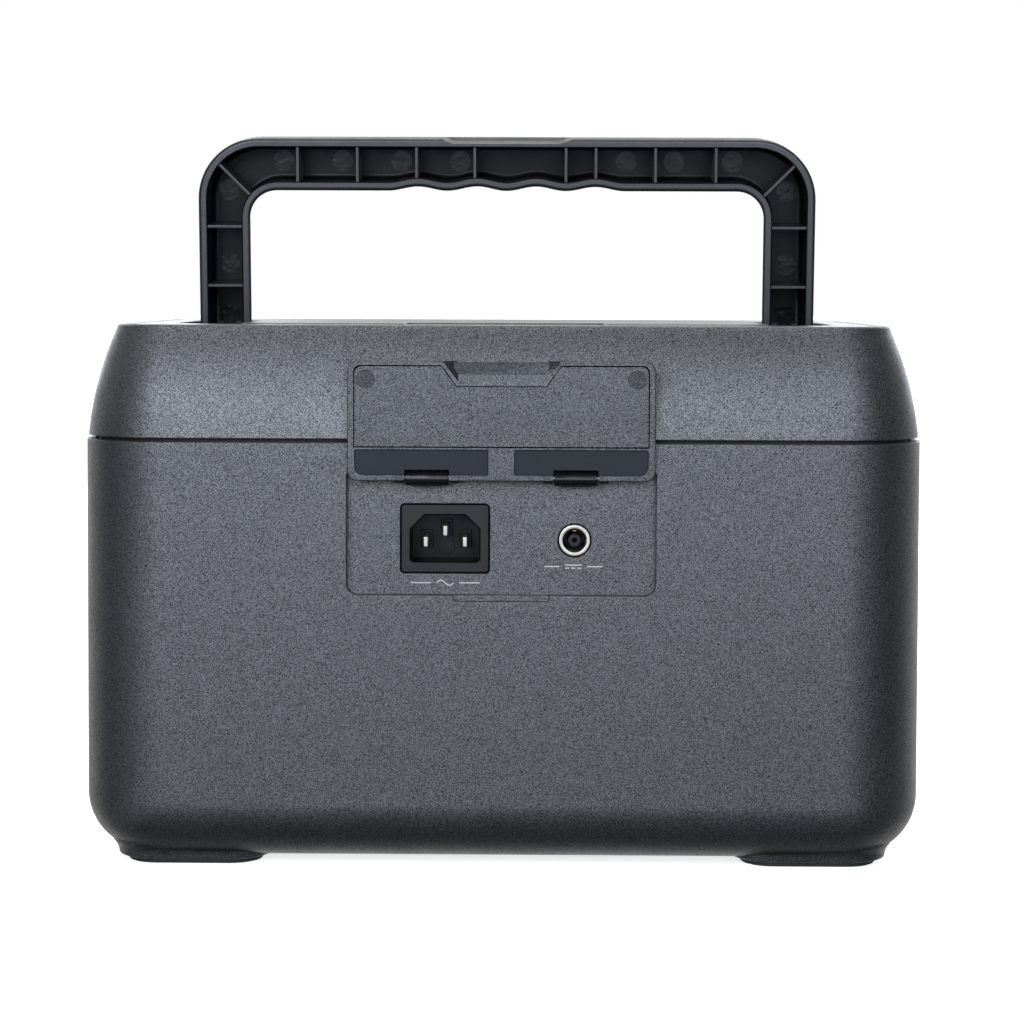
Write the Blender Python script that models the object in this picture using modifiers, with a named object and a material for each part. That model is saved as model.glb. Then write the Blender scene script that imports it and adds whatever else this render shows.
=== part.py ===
"""Portable power station: a two-part housing with a folding carry handle, a charging-port door at the
rear, a socket panel at the front, and the battery, inverter and fan inside. The rear faces -Y."""

import math

import bmesh
import bpy
from mathutils import Matrix, Vector

MM = 0.001

# Housing. A horizontal shadow gap parts the upper housing from the lower one.
HALF_WIDTH = 152.5 * MM
HALF_DEPTH = 102.5 * MM
PLAN_RADIUS = 32 * MM
CORNER_STEPS = 7
WALL = 3 * MM
FLOOR_Z = 2.8 * MM
FLOOR_RADIUS = 22 * MM
SEAM_LOW_Z = 154.4 * MM
SEAM_HIGH_Z = 155.6 * MM
DECK_Z = 196 * MM
UPPER_STEP = 0.5 * MM
DECK_EDGE_RADIUS = 1.5 * MM
DECK_RIM = 4.2 * MM
DECK_SHELF = 4 * MM
DECK_PLATE = 3 * MM
GAP = 0.4 * MM

# The open door stands further out than anything in front, so the housing sits a little forward.
BODY_Y = 1.5 * MM

# Feet.
FOOT_CENTRE = Vector((112.25, 71.5)) * MM
FOOT_HALF = Vector((28.25, 19.5)) * MM
FOOT_RADIUS = 15 * MM
FOOT_FACE_Z = 2.2 * MM
FOOT_FLARE = [(grow * MM, z * MM) for grow, z in ((0, 2.2), (0.3, 4.6), (2, 7.2), (2.6, 9.2))]
PAD_MARGIN = 3.6 * MM

# Charging ports at the rear, under a door hinged along its upper edge when it is shut.
PORT_X = 0
PORT_HALF_WIDTH = 55 * MM
PORT_LOW_Z = 100.2 * MM
PORT_HIGH_Z = 146 * MM
PORT_RADIUS = 3.9 * MM
PANEL_FACE_Y = -99.1 * MM
PANEL_THICK = 2.5 * MM
PANEL_MARGIN = 6 * MM
PANEL_TOP_Z = 149.1 * MM
DOOR_HALF_WIDTH = 54.5 * MM
DOOR_THICK = 3 * MM
DOOR_AXIS = Vector((PORT_X, -103 * MM, 142.1 * MM))
DOOR_BELOW_AXIS = 0.9 * MM
DOOR_TOP_Z = 183.7 * MM
DOOR_BACK = 0.5 * MM
HINGE_X = (-26.4 * MM, 26.4 * MM)
BARREL_RADIUS = 2.7 * MM
BARREL_HALF = 7.6 * MM
EAR_RADIUS = 1.9 * MM
EAR_WIDTH = 3.6 * MM
HINGE_PIN_RADIUS = 0.8 * MM
NOTCH_MOUTH = Vector((21, 16.5)) * MM
NOTCH_FLOOR = 15.3 * MM
NOTCH_DEPTH = Vector((7.8, 3.8)) * MM

INLET = Vector((-20.1, 0, 120.1)) * MM
INLET_HALF = Vector((15.6, 12.1)) * MM
CAVITY_HALF = Vector((12.25, 8.35)) * MM
CAVITY_CHAMFER = 5 * MM
CAVITY_DEPTH = 16 * MM
INLET_DEPTH = 20 * MM
JACK = Vector((26.1, 0, 119.6)) * MM
JACK_RADIUS = 5.6 * MM
JACK_BORE = 4.07 * MM

# Handle. At rest it stands up, leaning a little to the rear, and it folds that way into a U-shaped
# groove in the deck. Its heights are taken along its legs, up from its axis.
HANDLE_AXIS = Vector((0, 20 * MM, DECK_Z - 10.5 * MM))
HANDLE_LEAN = math.radians(6)
HANDLE_REACH = 84.2 * MM
HANDLE_HALF_WIDTH = 122 * MM
HANDLE_HALF_DEPTH = 10.5 * MM
HANDLE_FRONT_EDGE = Vector((2.4, 5)) * MM
HANDLE_RADIUS = 24 * MM
LEG_WIDTH = 20.6 * MM
LEG_DRAFT = 2.4 * MM
GRIP_HEIGHT = 20.6 * MM
INNER_RADIUS = 10.7 * MM
CHANNEL_WALL = 3.6 * MM
CHANNEL_WEB = 2.5 * MM
CHANNEL_LOW = 7.6 * MM
RIB = 1.2 * MM
RIB_SET_BACK = 0.8 * MM
RIB_X = [x * MM for x in (-82.6, -59, -35.6, -12.6, 23.4, 35.2, 58.7, 82.5)]
RIB_HEIGHTS = [z * MM for z in (49.3, 25.8)]
CORNER_RIB = Vector((108, 68.3)) * MM
FINGER_PITCH = 23.4 * MM
FINGER_DEPTH = 1.8 * MM
FINGERS = 4
THUMB_STATIONS = [(x * MM, lift * MM) for x, lift in ((-28.5, 2.6), (-20.6, 0), (20.6, 0), (28.5, 2.6))]
THUMB_SECTION = [(y * MM, z * MM) for y, z in ((-12, -2.1), (0, -1.1), (2.5, 0.4))]
PIVOT_PIN_RADIUS = 3 * MM
BUSH_RADIUS = 5.2 * MM
GROOVE_GAP = 1.2 * MM
TRAY_WALL = 2 * MM

# Front panel, seen from the front with u to the right, so u is -X. Centres are (u, z).
FRONT_HALF = Vector((117, 56)) * MM
FRONT_Z = 86 * MM
FRONT_RADIUS = 8 * MM
FRONT_THICK = 4 * MM
DISPLAY = Vector((0, 117)) * MM
DISPLAY_HALF = Vector((42, 17)) * MM
LAMP = Vector((-79, 121)) * MM
LAMP_HALF = Vector((27, 9)) * MM
AC_SOCKETS = {"left": Vector((40, 66)) * MM, "right": Vector((86, 66)) * MM}
AC_RADIUS = 22 * MM
AC_WELL_RADIUS = 19.5 * MM
CAR_SOCKET = Vector((-92, 62)) * MM
CAR_RADIUS = 14 * MM
CAR_BORE = 10.5 * MM
USB_A = {"upper": Vector((-58, 75)) * MM, "lower": Vector((-58, 55)) * MM}
USB_A_HALF = Vector((6.6, 2.9)) * MM
USB_C = {"upper": Vector((-36, 75)) * MM, "lower": Vector((-36, 55)) * MM}
USB_C_HALF = Vector((4.6, 1.8)) * MM
BUTTONS = {
    "power_button": (Vector((62, 117)) * MM, 7.5 * MM),
    "ac_button": (Vector((95, 117)) * MM, 6 * MM),
    "dc_button": (Vector((-10, 65)) * MM, 6 * MM),
    "lamp_button": (Vector((-79, 97)) * MM, 6 * MM),
}
BUTTON_PROUD = 1 * MM

# Side vents and the fan behind the left one.
VENT_Y = -20 * MM
VENT_Z = 105 * MM
VENT_HALF = Vector((34, 30)) * MM
VENT_SLOTS = 8
FAN_X = -139.5 * MM
FAN_HALF = 30 * MM
FAN_BLADES = 7

# Battery and electronics.
CELLS = 8
CELL = Vector((27, 144, 84)) * MM
CELL_PITCH = 27.5 * MM
BATTERY_Y = -16 * MM
TRAY_Z = 12 * MM
INVERTER_Z = 108 * MM

SIDES = {"left": -1, "right": 1}
CORNERS = {
    "rear_left": (-1, -1),
    "rear_right": (1, -1),
    "front_left": (-1, 1),
    "front_right": (1, 1),
}

HALF_TURN = math.pi
RIGHT_ANGLE = math.pi / 2
FACING_REAR = (RIGHT_ANGLE, 0, 0)
FACING_FRONT = (RIGHT_ANGLE, 0, HALF_TURN)

for leftover in list(bpy.data.objects):
    bpy.data.objects.remove(leftover, do_unlink=True)
parts = bpy.data.collections.new("power_station")
cutters = bpy.data.collections.new("cutters")
for group in (parts, cutters):
    bpy.context.scene.collection.children.link(group)


def empty(name, location, parent=None):
    made = bpy.data.objects.new(name, None)
    made.location = location
    made.parent = parent
    made.empty_display_size = 10 * MM
    parts.objects.link(made)
    return made


body = empty("power_station_body", (0, BODY_Y, 0))


def finish_of(name, colour, roughness, metallic=0.0):
    made = bpy.data.materials.new(name)
    made.use_nodes = True
    shader = made.node_tree.nodes["Principled BSDF"]
    shader.inputs["Base Color"].default_value = (*colour, 1.0)
    shader.inputs["Roughness"].default_value = roughness
    shader.inputs["Metallic"].default_value = metallic
    return made


CASE = finish_of("grained_case", (0.075, 0.085, 0.1), 0.5)
BLACK = finish_of("black_moulding", (0.02, 0.021, 0.024), 0.42)
GLOSS = finish_of("gloss_black", (0.008, 0.008, 0.009), 0.12)
RUBBER = finish_of("rubber", (0.018, 0.018, 0.019), 0.8)
STEEL = finish_of("steel", (0.55, 0.55, 0.56), 0.28, 1.0)
NICKEL = finish_of("nickel", (0.72, 0.7, 0.66), 0.2, 1.0)
LENS = finish_of("lamp_lens", (0.75, 0.76, 0.74), 0.35)
BOARD = finish_of("circuit_board", (0.02, 0.12, 0.05), 0.5)
CELL_WRAP = finish_of("cell_wrap", (0.03, 0.12, 0.35), 0.4)
ALUMINIUM = finish_of("aluminium", (0.6, 0.61, 0.62), 0.35, 1.0)
COPPER = finish_of("winding", (0.5, 0.22, 0.08), 0.35, 0.8)


def add(name, mesh, finish, location=(0, 0, 0), rotation=(0, 0, 0), parent=None):
    """An object of the station, or a cutter when it has no finish."""
    made = bpy.data.objects.new(name, mesh)
    made.location = location
    made.rotation_euler = rotation
    made.parent = parent or body
    if finish:
        mesh.materials.append(finish)
        parts.objects.link(made)
    else:
        made.hide_render = True
        made.display_type = "WIRE"
        cutters.objects.link(made)
    return made


def mesh_of(name, bm, smooth=False):
    mesh = bpy.data.meshes.new(name)
    bmesh.ops.recalc_face_normals(bm, faces=bm.faces)
    bm.to_mesh(mesh)
    bm.free()
    if smooth:
        mesh.shade_smooth()
    return mesh


def block(name, size, centre, finish=None, edge=0.0, rotation=(0, 0, 0), parent=None):
    bm = bmesh.new()
    bmesh.ops.create_cube(bm, size=1, matrix=Matrix.Diagonal((*size, 1)))
    made = add(name, mesh_of(name, bm), finish, centre, rotation, parent)
    if edge:
        bevel = made.modifiers.new("edges", "BEVEL")
        bevel.width = edge
        bevel.segments = 1
    return made


def blocks(name, boxes, finish=None, parent=None):
    """Several boxes in one mesh, each given as (size, centre, turn about Y)."""
    bm = bmesh.new()
    for size, centre, turn in boxes:
        matrix = Matrix.Translation(centre) @ Matrix.Rotation(turn, 4, "Y") @ Matrix.Diagonal((*size, 1))
        bmesh.ops.create_cube(bm, size=1, matrix=matrix)
    return add(name, mesh_of(name, bm), finish, parent=parent)


def rod(name, radius, length, centre, axis, finish=None, sides=20, parent=None):
    """A cylinder along the world's X, Y or Z."""
    bm = bmesh.new()
    bmesh.ops.create_cone(
        bm, cap_ends=True, segments=sides, radius1=radius, radius2=radius, depth=length
    )
    turn = {"X": (0, RIGHT_ANGLE, 0), "Y": FACING_REAR, "Z": (0, 0, 0)}[axis]
    return add(name, mesh_of(name, bm), finish, centre, turn, parent)


def turned(name, profile, centre, rotation, finish, sides=24, hollow=True, parent=None):
    """A profile of (radius, height) points turned about the local Z. It runs down its outer side;
    a hollow one closes on itself, and a solid one starts and ends on the axis."""
    bm = bmesh.new()
    points = [bm.verts.new((r, 0, z)) for r, z in profile]
    ends = points[1:] + points[:1] if hollow else points[1:]
    for start, end in zip(points, ends):
        bm.edges.new((start, end))
    mesh = bpy.data.meshes.new(name)
    bm.to_mesh(mesh)
    bm.free()
    made = add(name, mesh, finish, centre, rotation, parent)
    screw = made.modifiers.new("turn", "SCREW")
    screw.steps = screw.render_steps = sides
    screw.use_merge_vertices = True
    screw.merge_threshold = 0.00001
    return made


def arc(centre, radius, start, end, steps):
    """Points from angle start to angle end, in quarter turns."""
    angles = [RIGHT_ANGLE * (start + (end - start) * step / steps) for step in range(steps + 1)]
    return [(centre[0] + radius * math.cos(a), centre[1] + radius * math.sin(a)) for a in angles]


def rounded(half, radius, steps=4, centre=(0, 0)):
    """A rectangle with round corners, anticlockwise."""
    loop = []
    for quarter, (sx, sy) in enumerate([(1, 1), (-1, 1), (-1, -1), (1, -1)]):
        corner = (centre[0] + sx * (half[0] - radius), centre[1] + sy * (half[1] - radius))
        loop += arc(corner, radius, quarter, quarter + 1, steps)
    return loop


def circle(radius, centre, sides=24):
    return arc(centre, radius, 0, 4, sides)[:-1]


def plate(name, loops, thick, centre, rotation=(0, 0, 0), finish=None, parent=None):
    """Flat loops, the outer one first and then its holes, as a slab about the local XY plane."""
    curve = bpy.data.curves.new(name, "CURVE")
    curve.dimensions = "2D"
    curve.fill_mode = "BOTH"
    curve.extrude = thick / 2
    for loop in loops:
        spline = curve.splines.new("POLY")
        spline.points.add(len(loop) - 1)
        spline.use_cyclic_u = True
        for point, (x, y) in zip(spline.points, loop):
            point.co = (x, y, 0, 1)
    outline = bpy.data.objects.new(name + "_outline", curve)
    cutters.objects.link(outline)
    bpy.context.view_layer.update()
    graph = bpy.context.evaluated_depsgraph_get()
    mesh = bpy.data.meshes.new_from_object(outline.evaluated_get(graph))
    bpy.data.objects.remove(outline, do_unlink=True)
    bm = bmesh.new()
    bm.from_mesh(mesh)
    bpy.data.meshes.remove(mesh)
    bmesh.ops.remove_doubles(bm, verts=bm.verts, dist=0.001 * MM)
    return add(name, mesh_of(name, bm), finish, centre, rotation, parent)


def loft(name, rings, finish=None, ring_closed=False, parent=None):
    """A skin through rings of equal point count. Its ends are capped, or joined to each other."""
    bm = bmesh.new()
    loops = [[bm.verts.new(point) for point in ring] for ring in rings]
    for low, high in zip(loops, loops[1:] + loops[:1] if ring_closed else loops[1:]):
        for a, b, c, d in zip(low, low[1:] + low[:1], high[1:] + high[:1], high):
            bm.faces.new((a, b, c, d))
    if not ring_closed:
        bm.faces.new(loops[0])
        bm.faces.new(loops[-1])
    return add(name, mesh_of(name, bm), finish, parent=parent)


def boolean(target, operation, tool):
    step = target.modifiers.new(tool.name, "BOOLEAN")
    step.operation = operation
    step.solver = "EXACT"
    step.object = tool


def cut(target, *tools):
    for tool in tools:
        boolean(target, "DIFFERENCE", tool)


def join(target, *tools):
    for tool in tools:
        boolean(target, "UNION", tool)


def plan_ring(inset, z):
    """The housing's outline in plan, drawn in by the inset."""
    half = (HALF_WIDTH - inset, HALF_DEPTH - inset)
    return [(x, y, z) for x, y in rounded(half, PLAN_RADIUS - inset, CORNER_STEPS)]


def upper_inset(z):
    """How far the upper housing leans in from the lower one at a height."""
    rise = (z - SEAM_LOW_Z) / MM
    return UPPER_STEP + (0.0757 * rise + 0.004576 * rise**2) * MM


def front(u_z, y):
    """A point on the front panel, from its (u, z)."""
    return Vector((-u_z[0], y, u_z[1]))


# ---------------------------------------------------------------------------------------- housing


def lower_housing():
    bend = FLOOR_RADIUS
    inner = bend - WALL
    turns = [RIGHT_ANGLE * step / 6 for step in range(7)]
    outside = [(bend * (1 - math.cos(a)), FLOOR_Z + bend * (1 - math.sin(a))) for a in turns]
    inside = [(bend - inner * math.cos(a), FLOOR_Z + bend - inner * math.sin(a)) for a in turns]
    section = outside[::-1] + [(0, SEAM_LOW_Z), (WALL, SEAM_LOW_Z)] + inside
    housing = loft("lower_housing", [plan_ring(*point) for point in section], CASE)
    for name, (sx, sy) in CORNERS.items():
        centre = (sx * FOOT_CENTRE.x, sy * FOOT_CENTRE.y)
        rings = []
        for grow, z in FOOT_FLARE:
            half = FOOT_HALF + Vector((grow, grow))
            rings.append([(x, y, z) for x, y in rounded(half, FOOT_RADIUS + grow, centre=centre)])
        join(housing, loft(f"foot_base_{name}", rings))
    high = (PORT_HIGH_Z + PORT_LOW_Z) / 2
    half = (PORT_HALF_WIDTH, (PORT_HIGH_Z - PORT_LOW_Z) / 2)
    opening = plate(
        "port_opening", [rounded(half, PORT_RADIUS)], 12 * MM, (PORT_X, -HALF_DEPTH, high), FACING_REAR
    )
    scoop = block(
        "port_scoop", (34 * MM, 3 * MM, 4.6 * MM), (PORT_X, -HALF_DEPTH, PORT_LOW_Z + 0.2 * MM)
    )
    window = plate(
        "front_opening", [rounded(FRONT_HALF, FRONT_RADIUS)], 12 * MM, (0, HALF_DEPTH, FRONT_Z), FACING_REAR
    )
    cut(housing, opening, scoop, window)
    for side, x in SIDES.items():
        vent = block(
            f"vent_opening_{side}", (12 * MM, 2 * VENT_HALF.x, 2 * VENT_HALF.y), (x * HALF_WIDTH, VENT_Y, VENT_Z)
        )
        cut(housing, vent)


def upper_housing():
    lean = [SEAM_HIGH_Z + (DECK_Z - DECK_EDGE_RADIUS - SEAM_HIGH_Z) * step / 5 for step in range(6)]
    outside = [(upper_inset(z), z) for z in lean]
    edge = upper_inset(DECK_Z - DECK_EDGE_RADIUS)
    round_edge = [
        (edge + DECK_EDGE_RADIUS * (1 - math.cos(a)), DECK_Z - DECK_EDGE_RADIUS * (1 - math.sin(a)))
        for a in (RIGHT_ANGLE / 2, RIGHT_ANGLE)
    ]
    rim = edge + DECK_EDGE_RADIUS + DECK_RIM
    shelf_z = DECK_Z - DECK_PLATE - GAP
    shelf = [(rim, DECK_Z), (rim, shelf_z), (rim + DECK_SHELF, shelf_z), (rim + DECK_SHELF, shelf_z - WALL)]
    inside = [(upper_inset(z) + WALL, z) for z in (shelf_z - WALL, *lean[4:0:-2], SEAM_HIGH_Z)]
    section = outside + round_edge + shelf + inside
    loft("upper_housing", [plan_ring(*point) for point in section], CASE, ring_closed=True)
    return rim


def seam_seal():
    low, high = PANEL_TOP_Z + GAP, SEAM_HIGH_Z + 2 * MM
    section = [(4.2 * MM, low), (4.2 * MM, high), (6.2 * MM, high), (6.2 * MM, low)]
    loft("seam_seal", [plan_ring(*point) for point in section], RUBBER, ring_closed=True)


def groove_loops(grow):
    """The handle's outline laid on the deck and grown all round: outer loop and inner island."""
    reach = HANDLE_AXIS.y - HANDLE_REACH
    front_y = HANDLE_AXIS.y + HANDLE_HALF_DEPTH + grow
    outer = HANDLE_HALF_WIDTH + grow
    leg = HANDLE_HALF_WIDTH - LEG_WIDTH - grow
    bar = reach + GRIP_HEIGHT + grow
    radius = HANDLE_RADIUS + grow
    corner = reach - grow + radius
    loop = arc((-(outer - radius), corner), radius, 2, 3, 6)
    loop += arc((outer - radius, corner), radius, 3, 4, 6)
    inner_radius = INNER_RADIUS - grow
    loop += [(outer, front_y), (leg, front_y)]
    loop += arc((leg - inner_radius, bar + inner_radius), inner_radius, 4, 3, 3)
    loop += arc((-(leg - inner_radius), bar + inner_radius), inner_radius, 3, 2, 3)
    return loop + [(-leg, front_y), (-outer, front_y)]


def top_deck(rim):
    half = (HALF_WIDTH - rim - GAP, HALF_DEPTH - rim - GAP)
    middle = DECK_Z - DECK_PLATE / 2
    deck = plate("top_deck", [rounded(half, PLAN_RADIUS - rim, 5)], DECK_PLATE, (0, 0, middle), finish=CASE)
    floor_z = HANDLE_AXIS.z - HANDLE_HALF_DEPTH - GAP
    low, high = floor_z - TRAY_WALL, DECK_Z - 1 * MM
    trough = plate(
        "groove_trough", [groove_loops(GROOVE_GAP + TRAY_WALL)], high - low, (0, 0, (low + high) / 2)
    )
    lift = block("lift_pocket_walls", (80 * MM, 24 * MM, 14 * MM), (0, -32 * MM, DECK_Z - 8 * MM))
    join(deck, trough, lift)
    groove = plate("groove", [groove_loops(GROOVE_GAP)], 40 * MM, (0, 0, floor_z + 20 * MM))
    scoop = block("lift_pocket", (76 * MM, 22 * MM, 24 * MM), (0, -33 * MM, DECK_Z))
    pivot = rod("pivot_hole", PIVOT_PIN_RADIUS + 0.3 * MM, 270 * MM, HANDLE_AXIS, "X")
    cut(deck, groove, scoop, pivot)


def feet():
    for name, (sx, sy) in CORNERS.items():
        thick = FOOT_FACE_Z - 0.3 * MM
        half = FOOT_HALF - Vector((PAD_MARGIN, PAD_MARGIN))
        centre = (sx * FOOT_CENTRE.x, sy * FOOT_CENTRE.y, thick / 2)
        plate(f"foot_pad_{name}", [rounded(half, FOOT_RADIUS - PAD_MARGIN)], thick, centre, finish=RUBBER)


def vents():
    slot = VENT_HALF.y * 2 / (VENT_SLOTS + 1)
    for side, x in SIDES.items():
        loops = [rounded(VENT_HALF - Vector((GAP, GAP)), 1 * MM, 2)]
        for row in range(VENT_SLOTS):
            centre = (0, (row - (VENT_SLOTS - 1) / 2) * slot)
            loops.append(rounded((VENT_HALF.x - 5 * MM, 1.6 * MM), 1.5 * MM, 2, centre))
        centre = (x * (HALF_WIDTH - 1.3 * MM), VENT_Y, VENT_Z)
        plate(f"vent_grille_{side}", loops, 2.6 * MM, centre, (RIGHT_ANGLE, 0, RIGHT_ANGLE), BLACK)


# ------------------------------------------------------------------------------------- rear ports


def port_panel():
    low, high = PORT_LOW_Z - PANEL_MARGIN, PANEL_TOP_Z
    middle = (low + high) / 2
    outer = rounded((PORT_HALF_WIDTH + PANEL_MARGIN, (high - low) / 2), 3 * MM, 2)
    inlet = rounded(
        INLET_HALF + Vector((GAP, GAP)), 1.6 * MM, 2, (INLET.x - PORT_X, INLET.z - middle)
    )
    jack = circle(JACK_RADIUS + GAP, (JACK.x - PORT_X, JACK.z - middle), 20)
    slots = [
        rounded((6 * MM, 2.2 * MM), 0.5 * MM, 1, (x, DOOR_AXIS.z - 0.4 * MM - middle)) for x in HINGE_X
    ]
    centre = (PORT_X, PANEL_FACE_Y + PANEL_THICK / 2, middle)
    plate("port_panel", [outer, inlet, jack, *slots], PANEL_THICK, centre, FACING_REAR, CASE)


def ac_inlet():
    face = Vector((INLET.x, PANEL_FACE_Y, INLET.z))
    flange = 3 * MM
    inlet = plate(
        "ac_inlet", [rounded(INLET_HALF, 1.2 * MM, 2)], flange, face + Vector((0, flange / 2, 0)),
        FACING_REAR, BLACK,
    )
    depth = INLET_DEPTH - flange / 2
    shell = block(
        "ac_inlet_shell", (28.4 * MM, depth, 21 * MM), face + Vector((0, flange / 2 + depth / 2, 0))
    )
    w, h, c = CAVITY_HALF.x, CAVITY_HALF.y, CAVITY_CHAMFER
    mouth = [(w, -h), (w, h - c), (w - c, h), (c - w, h), (-w, h - c), (-w, -h)]
    cavity = plate(
        "ac_inlet_cavity", [mouth], 2 * CAVITY_DEPTH, face, FACING_REAR
    )
    join(inlet, shell)
    cut(inlet, cavity)
    pins = {"line": (-7, -1.5), "neutral": (7, -1.5), "earth": (0, 2.5)}
    for name, (x, z) in pins.items():
        centre = face + Vector((x * MM, 14.5 * MM, z * MM))
        hole = block(f"pin_slot_{name}", (2.6 * MM, 30 * MM, 4.6 * MM), centre)
        cut(inlet, hole)
        block(f"ac_pin_{name}", (2 * MM, 24 * MM, 4 * MM), centre, NICKEL)


def dc_jack():
    face = Vector((JACK.x, PANEL_FACE_Y, JACK.z))
    long = 14 * MM
    ring = [(JACK_RADIUS, 0), (JACK_RADIUS, -long), (JACK_BORE, -long), (JACK_BORE, 0)]
    turned("dc_jack_sleeve", ring, face, FACING_REAR, NICKEL)
    base, post, back = 3.7 * MM, 2.4 * MM, 7 * MM
    tip, bore = -1.5 * MM, 0.65 * MM
    core = [
        (bore, tip), (post, tip), (post, 3 * MM - long), (base, 3 * MM - long), (base, -long - 0.3 * MM),
        (back, -long - 0.3 * MM), (back, -long - 6 * MM), (0, -long - 6 * MM),
    ]
    turned("dc_jack_core", [(0, tip - 7 * MM), (bore, tip - 7 * MM), *core], face, FACING_REAR, BLACK,
           hollow=False)


def notch_ring(share, edge, face):
    """The finger notch at a share of the door's thickness, 0 at its inner face and 1 at its outer one."""
    mouth, depth = (size[0] + (size[1] - size[0]) * share for size in (NOTCH_MOUTH, NOTCH_DEPTH))
    y = face + DOOR_THICK * share
    above = edge + 1 * MM
    half = mouth + (mouth - NOTCH_FLOOR) / depth * (above - edge)
    return [(half, y, above), (NOTCH_FLOOR, y, edge - depth), (-NOTCH_FLOOR, y, edge - depth), (-half, y, above)]


def port_door():
    axis = empty("port_door_axis", DOOR_AXIS, body)
    edge = (DOOR_TOP_Z - DOOR_AXIS.z, -DOOR_BELOW_AXIS)
    half, r = DOOR_HALF_WIDTH, PORT_RADIUS
    loop = arc((half - r, edge[0] - r), r, 0, 1, 4)
    loop += arc((r - half, edge[0] - r), r, 1, 2, 4)
    loop += arc((r - half, edge[1] + r), r, 2, 3, 4)
    for x in HINGE_X:
        side, deep = BARREL_HALF + GAP, BARREL_RADIUS + GAP
        loop += [(x - side, edge[1]), (x - side, deep), (x + side, deep), (x + side, edge[1])]
    loop += arc((half - r, edge[1] + r), r, 3, 4, 4)
    middle = -DOOR_BACK - DOOR_THICK / 2
    door = plate("port_door", [loop], DOOR_THICK, (0, middle, 0), FACING_REAR, CASE, axis)
    for side, x in zip(("left", "right"), HINGE_X):
        for place, turn in (("outer", -1), ("inner", 1)):
            start = x + turn * (BARREL_HALF + GAP + EAR_WIDTH / 2)
            ear = rod(f"ear_{side}_{place}", EAR_RADIUS, EAR_WIDTH, (start, 0, 0), "X", parent=axis)
            join(door, ear)
        hole = rod(
            f"hinge_hole_{side}", HINGE_PIN_RADIUS + 0.3 * MM, 2 * (BARREL_HALF + EAR_WIDTH - 0.6 * MM),
            (x, 0, 0), "X", sides=12, parent=axis,
        )
        cut(door, hole)
    face = middle - DOOR_THICK / 2
    rings = [notch_ring(share, edge[0], face) for share in (-0.2, 1.2)]
    cut(door, loft("finger_notch", rings, parent=axis))
    for side, turn in SIDES.items():
        pocket = block(
            f"door_pocket_{side}", (47.2 * MM, 2 * MM, 8.9 * MM), (turn * 28.3 * MM, face, 5.7 * MM), parent=axis
        )
        seat = rod(
            f"magnet_seat_{side}", 3.3 * MM, 3 * MM, (turn * 48 * MM, face, 35.2 * MM), "Y", parent=axis
        )
        cut(door, pocket, seat)
        turned(
            f"door_magnet_{side}", [(0, 0), (3 * MM, 0), (3 * MM, -1.1 * MM), (0, -1.1 * MM)],
            (turn * 48 * MM, face + 0.05 * MM, 35.2 * MM), FACING_REAR, STEEL, hollow=False, parent=axis,
        )


def door_hinges():
    for side, x in zip(("left", "right"), HINGE_X):
        centre = DOOR_AXIS + Vector((x, 0, 0))
        lug = rod(f"hinge_lug_{side}", BARREL_RADIUS, 2 * BARREL_HALF, centre, "X", GLOSS)
        arm = block(
            f"hinge_arm_{side}", (11 * MM, 8 * MM, 3.4 * MM), centre + Vector((0, 5 * MM, -0.4 * MM))
        )
        join(lug, arm)
        hole = rod(f"lug_hole_{side}", HINGE_PIN_RADIUS + 0.3 * MM, 40 * MM, centre, "X", sides=12)
        cut(lug, hole)
        long = 2 * (BARREL_HALF + EAR_WIDTH - 1 * MM)
        rod(f"hinge_pin_{side}", HINGE_PIN_RADIUS, long, centre, "X", STEEL, 12)


# ----------------------------------------------------------------------------------------- handle


def finger_wave(x):
    """Rise of the grip's underside into the finger grooves, which are deepest at the middle."""
    span = FINGERS * FINGER_PITCH / 2
    if abs(x) >= span:
        return 0.0
    shallower = 1 - 0.12 * abs(x) / span
    return FINGER_DEPTH * shallower * (1 - math.cos(2 * math.pi * (x + span) / FINGER_PITCH)) / 2


def handle_loop(wall, low, draft=0.0):
    """The handle's outline from the rear, about its axis: its sides drawn in by a wall, its legs by a draft."""
    top = HANDLE_REACH - wall
    outer, r = HANDLE_HALF_WIDTH - wall, HANDLE_RADIUS - wall
    leg = HANDLE_HALF_WIDTH - LEG_WIDTH + wall + draft
    under = HANDLE_REACH - GRIP_HEIGHT + wall
    inner = INNER_RADIUS + wall
    loop = [(outer, low)] + arc((outer - r, top - r), r, 0, 1, 6) + arc((r - outer, top - r), r, 1, 2, 6)
    loop += [(-outer, low), (-leg, low)] + arc((inner - leg, under - inner), inner, 2, 1, 4)
    steps = 6 * FINGERS
    for step in range(steps + 1):
        x = FINGERS * FINGER_PITCH * (step / steps - 0.5)
        loop.append((x, under + finger_wave(x)))
    return loop + arc((leg - inner, under - inner), inner, 1, 0, 4) + [(leg, low)]


def thumb_ring(x, lift):
    """A section of the thumb rest's cutter. Its floor rises to the front, then turns up a wall."""
    floor = [(x, y, HANDLE_REACH + z + lift) for y, z in THUMB_SECTION]
    high = HANDLE_REACH + 5 * MM
    return [(x, floor[0][1], high), *floor, (x, floor[-1][1], high)]


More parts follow.
